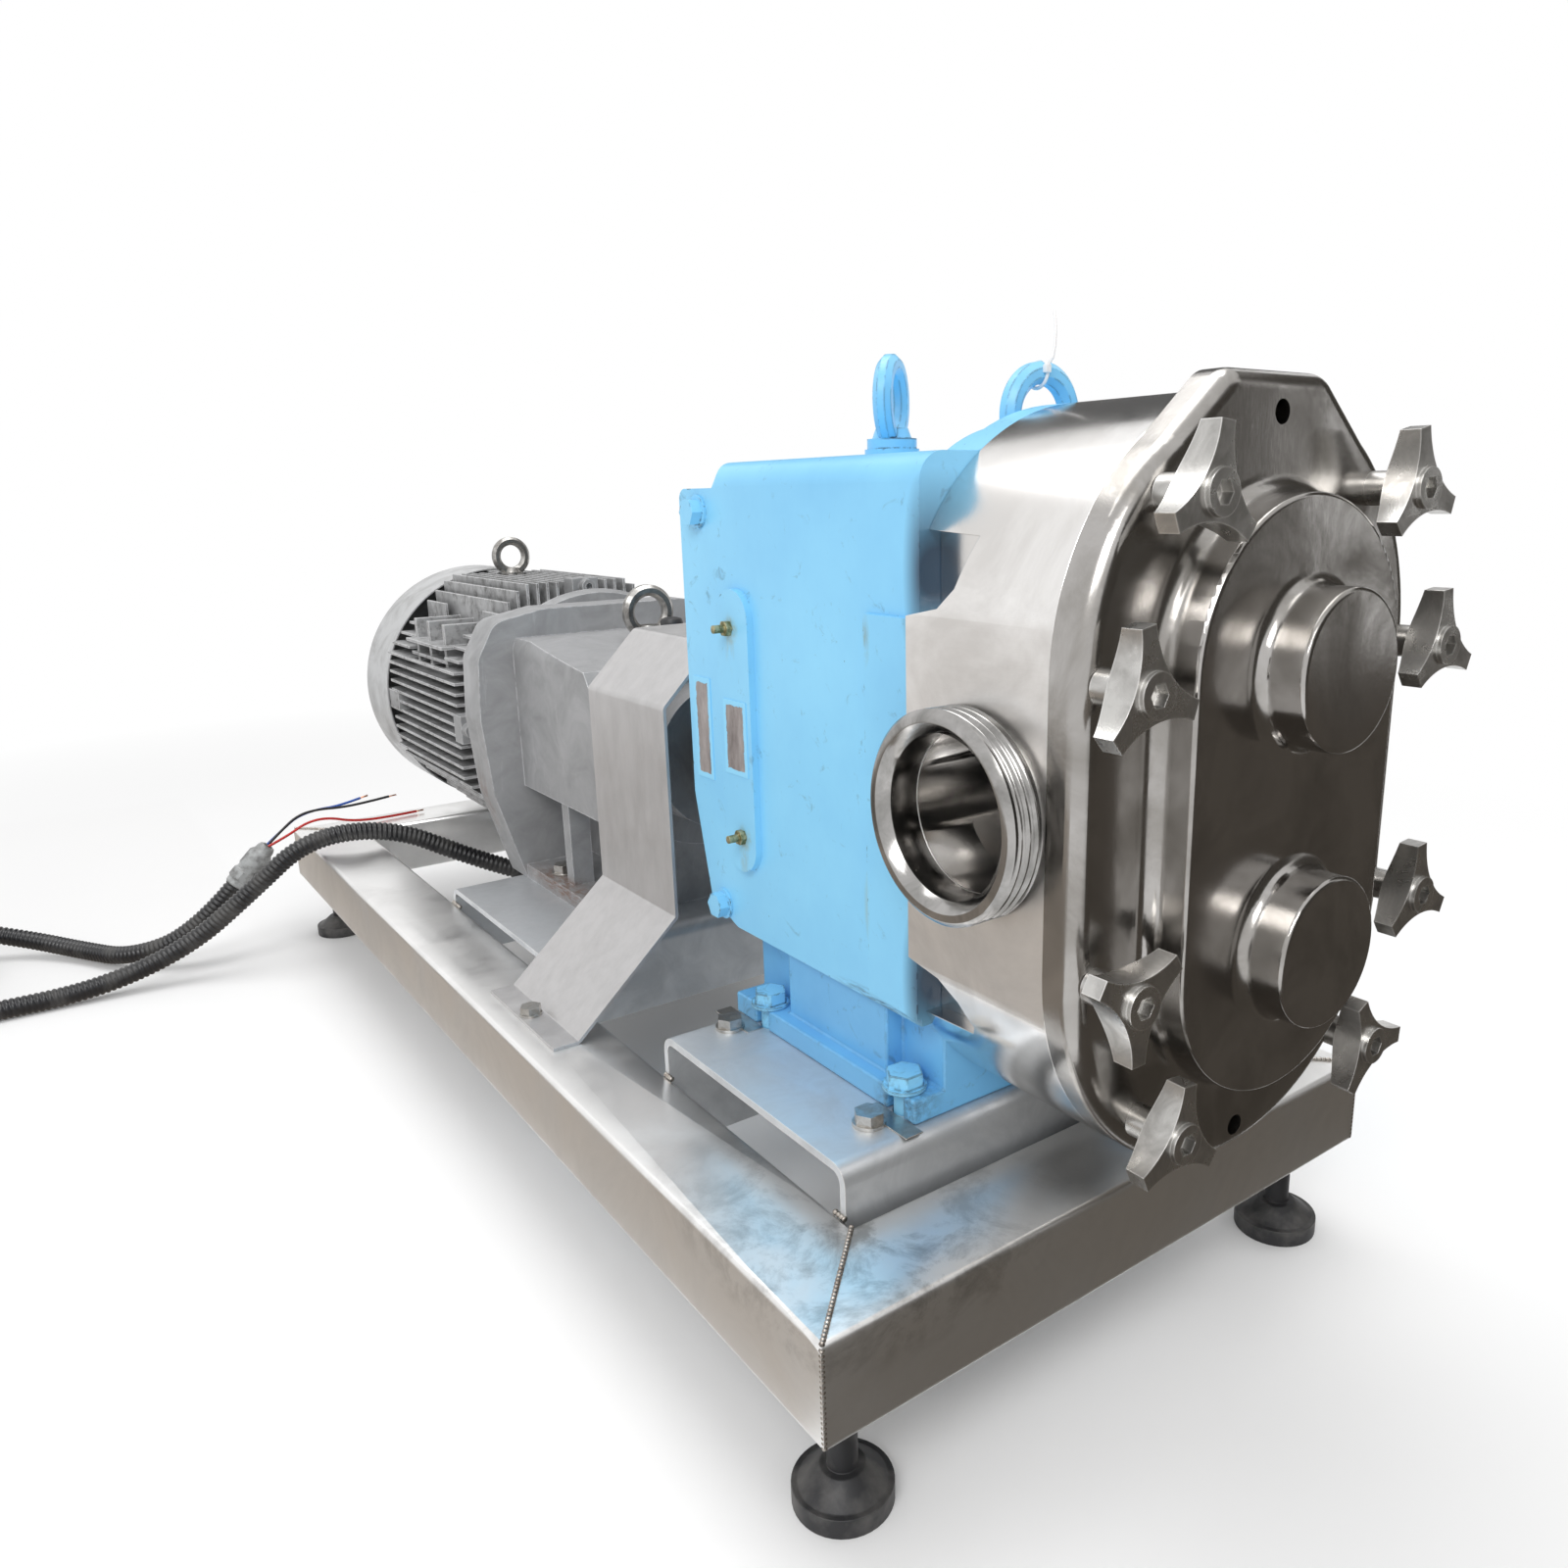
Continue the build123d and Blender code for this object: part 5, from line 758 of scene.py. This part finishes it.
for x, back in ((-158.0, 166), (158.0, 166), (-158.0, 372), (158.0, 372)):
    corner = f"{'left' if x < 0 else 'right'}_{'front' if back < 200 else 'rear'}"
    shim = block(f"shim_{corner}", at(x, back, FOOT_SEAT + SHIM[2] / 2), SHIM)
    soften(shim, 0.2 * MM, 1, 30)
    settle(shim, shim_steel, "skid")

# ========== skid rails
# Hollow section, 80 mm wide and 72 mm high, mitred and welded: ground bright along the tops,
# with handling marks along the length and a film of dried wash water by the front corner.
RAIL_ROUND = 5.0 * MM
rail_steel = stainless("rail_steel", (0.82, 0.815, 0.805), (0.70, 0.69, 0.675), 0.28, 0.42, 0.11)
rail_film = rail_steel.scale(rail_steel.noise(0.05, 8, 0.7, warp=0.5), 0.47, 0.60)
rail_wet = rail_steel.maths("MULTIPLY", rail_film, rail_steel.near(at(-225, 100, -274), 0.17, (1, 1.2, 0.25)))
rail_tone = rail_steel.blend(rail_steel.film, (0.93, 0.925, 0.915), (0.80, 0.795, 0.785))
rail_steel.set("Base Color", rail_steel.blend(rail_wet, rail_tone, (0.50, 0.495, 0.485)))
rail_steel.relief(rail_steel.noise(0.0012, 4, stretch=(1, 30, 1)), 0.06 * MM, 0.4)
rail_steel.relief(rail_steel.noise(0.09, 2), 1.2 * MM, 0.22)


def long_corner(node, axis):
    """Test for the four long outer corners of a rail along one axis."""
    low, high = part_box(node)
    cross = [other for other in range(3) if other != axis]

    def chosen(start, end):
        outer = all(min(abs(point[side] - low[side]), abs(point[side] - high[side])) < 0.1 * MM
                    for side in cross for point in (start, end))
        return outer and abs(start[axis] - end[axis]) > 0.2
    return chosen


for node, axis in (("rail_left", 1), ("rail_right", 1), ("rail_front", 0), ("rail_rear", 0)):
    dress(node, rail_steel, 0, 1, 30, (long_corner(node, axis), RAIL_ROUND, 5))

# ========== weld beads
# Rippled seams at the frame's mitres, and short ones at the ends of both channels.
weld_steel = stainless("weld_steel", (0.50, 0.47, 0.43), (0.26, 0.22, 0.19), 0.3, 0.45, 0.01)
MITRE_BEAD, BEAD_STEP, RIPPLE = 1.9, 0.7 * MM, 0.55 * MM
welds = [((outer_x, outer_back, -273.8), (inner_x, inner_back, -273.8), MITRE_BEAD)
         for outer_back, inner_back in ((50.5, 126.5), (1396.5, 1320.5))
         for outer_x, inner_x in ((-298, -222), (235, 159))]
welds += [((x, 50, -277), (x, 50, -344), MITRE_BEAD) for x in (-298.6, 235.6)]
for start, end, radius in ((136, 148, 2.2), (376, 388, 2.2), (640, 664, 2.1), (900, 925, 2.1)):
    welds += [((x, start, -274.0), (x, end, -274.0), radius) for x in (-220.4, 157.4)]


def bead_radius(radius):
    """Radius along a bead that swells and narrows with each ripple of the weld."""
    return lambda travelled, angle: radius * (0.82 + 0.18 * math.cos(travelled / RIPPLE)) * MM


beads = []
for number, (start, end, radius) in enumerate(welds):
    start, end = at(*start), at(*end)
    steps = max(4, round((end - start).length / BEAD_STEP))
    line = [start.lerp(end, step / steps) for step in range(steps + 1)]
    beads.append(tube_along(f"bead_{number}", line, bead_radius(radius), 10))
only(beads[0])
for bead in beads:
    bead.select_set(True)
bpy.ops.object.join()
beads[0].name = beads[0].data.name = "weld_beads"
settle(beads[0], weld_steel, "skid")

# ========== channels under pump and reducer
# Bent from 6 mm plate with the grey-blue mill skin left on, cut edges ground bright.
plate_steel = stainless("plate_steel", (0.40, 0.415, 0.43), (0.28, 0.29, 0.30), 0.40, 0.52, 0.05)
plate_steel.set("Metallic", 0.75)
plate_edge = plate_steel.edges(1.5 * MM)
plate_tone = plate_steel.blend(plate_steel.film, (0.68, 0.70, 0.72), (0.54, 0.56, 0.58))
plate_steel.set("Base Color", plate_steel.blend(plate_edge, plate_tone, (0.80, 0.79, 0.78)))
plate_steel.relief(plate_steel.noise(0.003, 5), 0.1 * MM, 0.3)
dress("pump_channel", plate_steel, 0.9 * MM, 2, 24)
dress("reducer_channel", plate_steel, 0.9 * MM, 2, 24)
bolt_steel = stainless("bolt_steel", (0.56, 0.55, 0.53), (0.36, 0.34, 0.31), 0.3, 0.44, 0.008)
dress("frame_bolts", bolt_steel, 0.6 * MM, 2)
dress("reducer_bolts", bolt_steel, 0.6 * MM, 2)

# ========== coupling guard
# Folded sheet, dull and streaked, with a soft bend at each fold.
guard_steel = stainless("guard_steel", (0.46, 0.455, 0.45), (0.35, 0.345, 0.34), 0.36, 0.50, 0.06)
guard_steel.set("Metallic", 0.7)
guard_wipe = guard_steel.scale(guard_steel.noise(0.02, 8, 0.7, stretch=(1, 1, 3)), 0.40, 0.72)
guard_steel.set("Base Color", guard_steel.blend(guard_wipe, (0.55, 0.54, 0.54), (0.47, 0.462, 0.46)))
guard_steel.relief(guard_steel.noise(0.002, 4, stretch=(1, 4, 1)), 0.06 * MM, 0.4)
guard_steel.relief(guard_steel.noise(0.12, 2), 1.6 * MM, 0.2)
dress("coupling_guard", guard_steel, 0.9 * MM, 2, 24)

# ========== coupling
# Two cast hubs and the spider between them, seen only from the open sides of the guard.
hub_iron = Finish("hub_iron", (0.12, 0.12, 0.125), metallic=0.6, roughness=0.5)
hub_iron.set("Roughness", hub_iron.scale(hub_iron.noise(0.008, 4), 0.3, 0.7, 0.4, 0.65))
dress("coupling_hub_pump", hub_iron, 0.8 * MM, 2)
dress("coupling_hub_reducer", hub_iron, 0.8 * MM, 2)
spider_rubber = Finish("spider_rubber", (0.10, 0.02, 0.015), roughness=0.6)
coat(["coupling_spider"], spider_rubber)


# ========== reducer
# Sand-cast housing in grey paint that has dulled: grain in the skin, pale rubs on the edges,
# rust at the rear flange and in the pocket round the foot bolts.
def paler(colour, factor):
    """The colour brightened by a factor, held below white."""
    return tuple(min(0.8, part * factor) for part in colour)


def cast_grey(name, light, dark, grain=0.0022, depth=0.28):
    """Dull grey paint on a sand casting, with pale edges."""
    finish = Finish(name, light, metallic=0.25, roughness=0.5)
    shade = finish.scale(finish.noise(0.05, 7, 0.65, warp=0.7), 0.35, 0.68)
    wipe = finish.scale(finish.noise(0.012, 8, 0.7, stretch=(1, 1, 6)), 0.62, 0.74)
    tone = finish.blend(shade, light, dark)
    tone = finish.blend(finish.maths("MULTIPLY", wipe, 0.45), tone, paler(light, 1.5))
    rub = finish.maths("MULTIPLY", finish.edges(2.2 * MM), finish.scale(finish.noise(0.01, 6), 0.34, 0.52))
    finish.colour = finish.blend(rub, tone, paler(light, 1.7))
    finish.set("Base Color", finish.colour)
    finish.set("Roughness", finish.scale(shade, 0, 1, 0.42, 0.6))
    finish.relief(finish.noise(grain, 4, 0.6), depth * MM, 0.5)
    finish.relief(finish.noise(0.03, 3), 0.6 * MM, 0.2)
    return finish


RUST = (0.17, 0.065, 0.022)
reducer_grey = cast_grey("reducer_grey", (0.40, 0.402, 0.41), (0.29, 0.292, 0.297))
RUST_SPOTS = (
    ((-150, 934, -150), 26, (1.2, 0.8, 2.2)), ((-150, 940, -110), 18, (1, 0.8, 2)),
    ((-126, 838, -226), 26, (1.4, 1.2, 0.8)), ((-120, 720, -232), 22, (1.4, 1.4, 0.6)),
    ((-134, 800, -243), 60, (0.6, 2.0, 0.25)), ((118, 838, -232), 30, (1.2, 1.2, 0.8)),
)
for spot, reach, stretch in RUST_SPOTS:
    stain_and_shade(reducer_grey, at(*spot), reach * MM, stretch, RUST, 0.85, 0.008)
dress("reducer_housing", reducer_grey, 2.4 * MM, 4, 28)

# Breather screw of the reducer beside its lifting eye: dark hexagon under a low cap.
BREATHER = (0, 757, 27)
BREATHER_OUTLINE = [(-4, 12), (4, 12), (4.2, 16), (13, 16), (14, 15), (14.4, 12.5), (24, 12.5), (27, 11),
                   (28.5, 7), (28.5, 0), (-4, 0)]
BREATHER_HEX, BREATHER_CORNER = (4.1, 13.5), 1.6


def breather_hexagon(along, angle, radius):
    """Corners of the breather's hexagon, added to its round profile."""
    on_hexagon = BREATHER_HEX[0] < along < BREATHER_HEX[1]
    return BREATHER_CORNER * abs(math.cos(3 * angle)) if on_hexagon else 0


breather = spun("breather", at(*BREATHER), Vector((0, 0, 1)), BREATHER_OUTLINE, 36, breather_hexagon)
breather_black = Finish("breather_black", (0.03, 0.03, 0.032), roughness=0.45)
breather_black.relief(breather_black.noise(0.002, 3), 0.1 * MM, 0.4)
settle(breather, breather_black, "skid")

# ========== motor
# End shield and finned body in grey paint, fin edges rubbed pale, dirt between them.
flange_grey = cast_grey("flange_grey", (0.37, 0.373, 0.378), (0.25, 0.252, 0.256), 0.0016, 0.2)
dress("motor_flange", flange_grey, 2.4 * MM, 4, 28)
fin_grey = cast_grey("fin_grey", (0.46, 0.463, 0.468), (0.32, 0.322, 0.326), 0.0016, 0.16)
fin_rub = fin_grey.edges(1.4 * MM)
fin_dirt = fin_grey.scale(fin_grey.noise(0.018, 8, 0.72), 0.48, 0.66)
fin_tone = fin_grey.blend(fin_dirt, fin_grey.colour, (0.15, 0.148, 0.145))
fin_grey.set("Base Color", fin_grey.blend(fin_rub, fin_tone, (0.76, 0.765, 0.77)))
dress("motor_frame", fin_grey, 0.7 * MM, 2, 28)
dress("terminal_box", cast_grey("box_grey", (0.30, 0.305, 0.31), (0.21, 0.213, 0.217)), 1.4 * MM, 3)

# ========== fan cowl
# Pressed sheet in pale grey paint, with a grille of slots in its back.
cowl_grey = Finish("cowl_grey", (0.48, 0.485, 0.49), metallic=0.35, roughness=0.38)
cowl_dirt = cowl_grey.scale(cowl_grey.noise(0.06, 8, 0.68, warp=0.6), 0.45, 0.75)
cowl_grey.set("Base Color", cowl_grey.blend(cowl_dirt, (0.50, 0.505, 0.51), (0.31, 0.308, 0.303)))
cowl_grey.set("Roughness", cowl_grey.scale(cowl_dirt, 0, 1, 0.34, 0.55))
cowl_grey.relief(cowl_grey.noise(0.004, 3), 0.12 * MM, 0.3)
dress("fan_cowl", cowl_grey, 0.5 * MM, 1, 28)
fan_black = Finish("fan_black", (0.02, 0.02, 0.022), roughness=0.55)
coat(["fan"], fan_black)

# ========== lifting eyes of motor and reducer
# Galvanised forgings, tarnished in patches.
eye_zinc = stainless("eye_zinc", (0.48, 0.47, 0.45), (0.18, 0.17, 0.16), 0.30, 0.5, 0.014)
eye_zinc.relief(eye_zinc.noise(0.002, 4), 0.15 * MM, 0.45)
dress("drive_eyes", eye_zinc, 0.4 * MM, 2, 40)

# ========== levelling feet
# Stems and pads, all dark.
foot_black = Finish("foot_black", (0.035, 0.035, 0.037), roughness=0.5, metallic=0.2)
foot_dust = foot_black.scale(foot_black.noise(0.03, 5), 0.45, 0.72)
foot_black.set("Base Color", foot_black.blend(foot_dust, (0.028, 0.028, 0.03), (0.12, 0.115, 0.11)))
dress("levelling_feet", foot_black, 0.8 * MM, 2)

# ========== inner pieces
# Shafts, rotors, gears, bearings and windings keep their shape and take a finish.
machined = stainless("machined_steel", (0.60, 0.59, 0.575), (0.48, 0.47, 0.455), 0.18, 0.28, 0.03)
machined.relief(machined.noise(0.0012, 2, stretch=(50, 1, 50)), 0.05 * MM, 0.4)
for node in ("rotor_drive", "rotor_driven"):
    dress(node, machined, 0, 1, 30)
coat([node for node, slot in SLOT_OF.items()
      if slot == "stainless_machined" and not node.startswith("rotor_d")], machined)
gear_oil = stainless("oiled_steel", (0.34, 0.33, 0.31), (0.24, 0.225, 0.20), 0.22, 0.34, 0.03)
coat([node for node, slot in SLOT_OF.items() if slot == "gear_steel"], gear_oil)
winding = Finish("stator_iron", (0.10, 0.085, 0.07), metallic=0.5, roughness=0.5)
winding.set("Roughness", winding.scale(winding.noise(0.01, 4), 0.3, 0.7, 0.4, 0.65))
coat(["stator"], winding)

# ========== floor, lamps and cards
# A pale floor, soft lamps above and at both sides, and cards that only reflections see, so
# that polished faces show shape.
bpy.ops.object.select_all(action="DESELECT")
bpy.ops.mesh.primitive_plane_add(size=16, location=(0, 0, 0))
floor = bpy.context.object
floor.name = "floor"
floor_paint = Finish("floor_paint", (0.93, 0.93, 0.93), roughness=0.95)
floor_paint.set("Base Color", floor_paint.blend(floor_paint.scale(floor_paint.noise(0.6, 3), 0.3, 0.7),
                                                (0.93, 0.93, 0.93), (0.95, 0.95, 0.95)))
bright = floor_paint.nodes.new("ShaderNodeEmission")
fading = floor_paint.nodes.new("ShaderNodeMixShader")
floor_paint.feed(fading.inputs[0], floor_paint.near((-0.1, 0.1, 0), 2.3, (0.85, 1.15, 1)))
floor_paint.links.new(bright.outputs[0], fading.inputs[1])
floor_paint.links.new(floor_paint.shader.outputs[0], fading.inputs[2])
floor_paint.links.new(fading.outputs[0], floor_paint.nodes["Material Output"].inputs["Surface"])
floor.data.materials.append(floor_paint.material)

world = bpy.data.worlds.new("studio")
bpy.context.scene.world = world
world.use_nodes = True
studio, wires = world.node_tree.nodes, world.node_tree.links
background = studio["Background"]
ray = studio.new("ShaderNodeLightPath")
seen = studio.new("ShaderNodeMath")
seen.operation = "MAXIMUM"
wires.new(ray.outputs["Is Camera Ray"], seen.inputs[0])
wires.new(ray.outputs["Is Transmission Ray"], seen.inputs[1])
also = studio.new("ShaderNodeMath")
also.operation = "MAXIMUM"
wires.new(seen.outputs[0], also.inputs[0])
wires.new(ray.outputs["Is Glossy Ray"], also.inputs[1])
level = studio.new("ShaderNodeMapRange")
wires.new(also.outputs[0], level.inputs["Value"])
level.inputs["To Min"].default_value, level.inputs["To Max"].default_value = 0.56, 1.0
wires.new(level.outputs["Result"], background.inputs["Strength"])
background.inputs["Color"].default_value = (1, 1, 1, 1)


def lamp(name, spot, aim, size, watts, mirrored=True):
    bpy.ops.object.light_add(type="AREA", location=spot)
    light = bpy.context.object
    light.name, light.data.name = name, name
    light.data.shape, light.data.size, light.data.size_y = "RECTANGLE", size[0], size[1]
    light.data.energy = watts
    light.visible_glossy = mirrored
    light.rotation_euler = (Vector(aim) - Vector(spot)).to_track_quat("-Z", "Y").to_euler()


def card(name, spot, aim, size, colour):
    """Dark or pale card that only reflections see."""
    bpy.ops.object.select_all(action="DESELECT")
    bpy.ops.mesh.primitive_plane_add(size=1, location=spot)
    board = bpy.context.object
    board.name = board.data.name = name
    board.scale = (*size, 1)
    board.rotation_euler = (Vector(aim) - Vector(spot)).to_track_quat("Z", "Y").to_euler()
    bpy.ops.object.transform_apply(location=True, rotation=True, scale=True)
    glow = bpy.data.materials.new(f"{name}_tone")
    glow.use_nodes = True
    glow.node_tree.nodes.clear()
    emission = glow.node_tree.nodes.new("ShaderNodeEmission")
    emission.inputs["Color"].default_value = (*colour, 1)
    output = glow.node_tree.nodes.new("ShaderNodeOutputMaterial")
    glow.node_tree.links.new(emission.outputs[0], output.inputs["Surface"])
    board.data.materials.append(glow)
    board.visible_camera = board.visible_diffuse = board.visible_shadow = False
    board.visible_transmission = board.visible_volume_scatter = False


lamp("key_lamp", (-1.9, -1.9, 2.4), (0, -0.4, 0.4), (1.6, 1.2), 40)
lamp("top_lamp", (0.1, 0.3, 2.8), (0, 0.2, 0.3), (2.4, 1.6), 38)
lamp("right_lamp", (2.4, -1.2, 1.6), (0, 0, 0.4), (1.0, 1.6), 10, False)
card("front_card", (1.7, -3.3, 1.3), (1.7, 0, 1.3), (4.6, 2.8), (0.085, 0.078, 0.068))
card("right_card", (3.6, -1.2, 1.3), (0, -1.2, 1.3), (2.8, 4.6), (0.085, 0.078, 0.068))
card("front_mat", (1.65, -1.98, 0.002), (1.65, -1.98, 1), (3.9, 2.65), (0.105, 0.092, 0.078))
card("left_mat", (-1.06, 0.6, 0.002), (-1.06, 0.6, 1), (1.5, 2.3), (0.40, 0.355, 0.31))
card("back_card", (2.9, 3.2, 2.7), (0, -0.4, 0.6), (4.4, 3.0), (0.10, 0.10, 0.10))
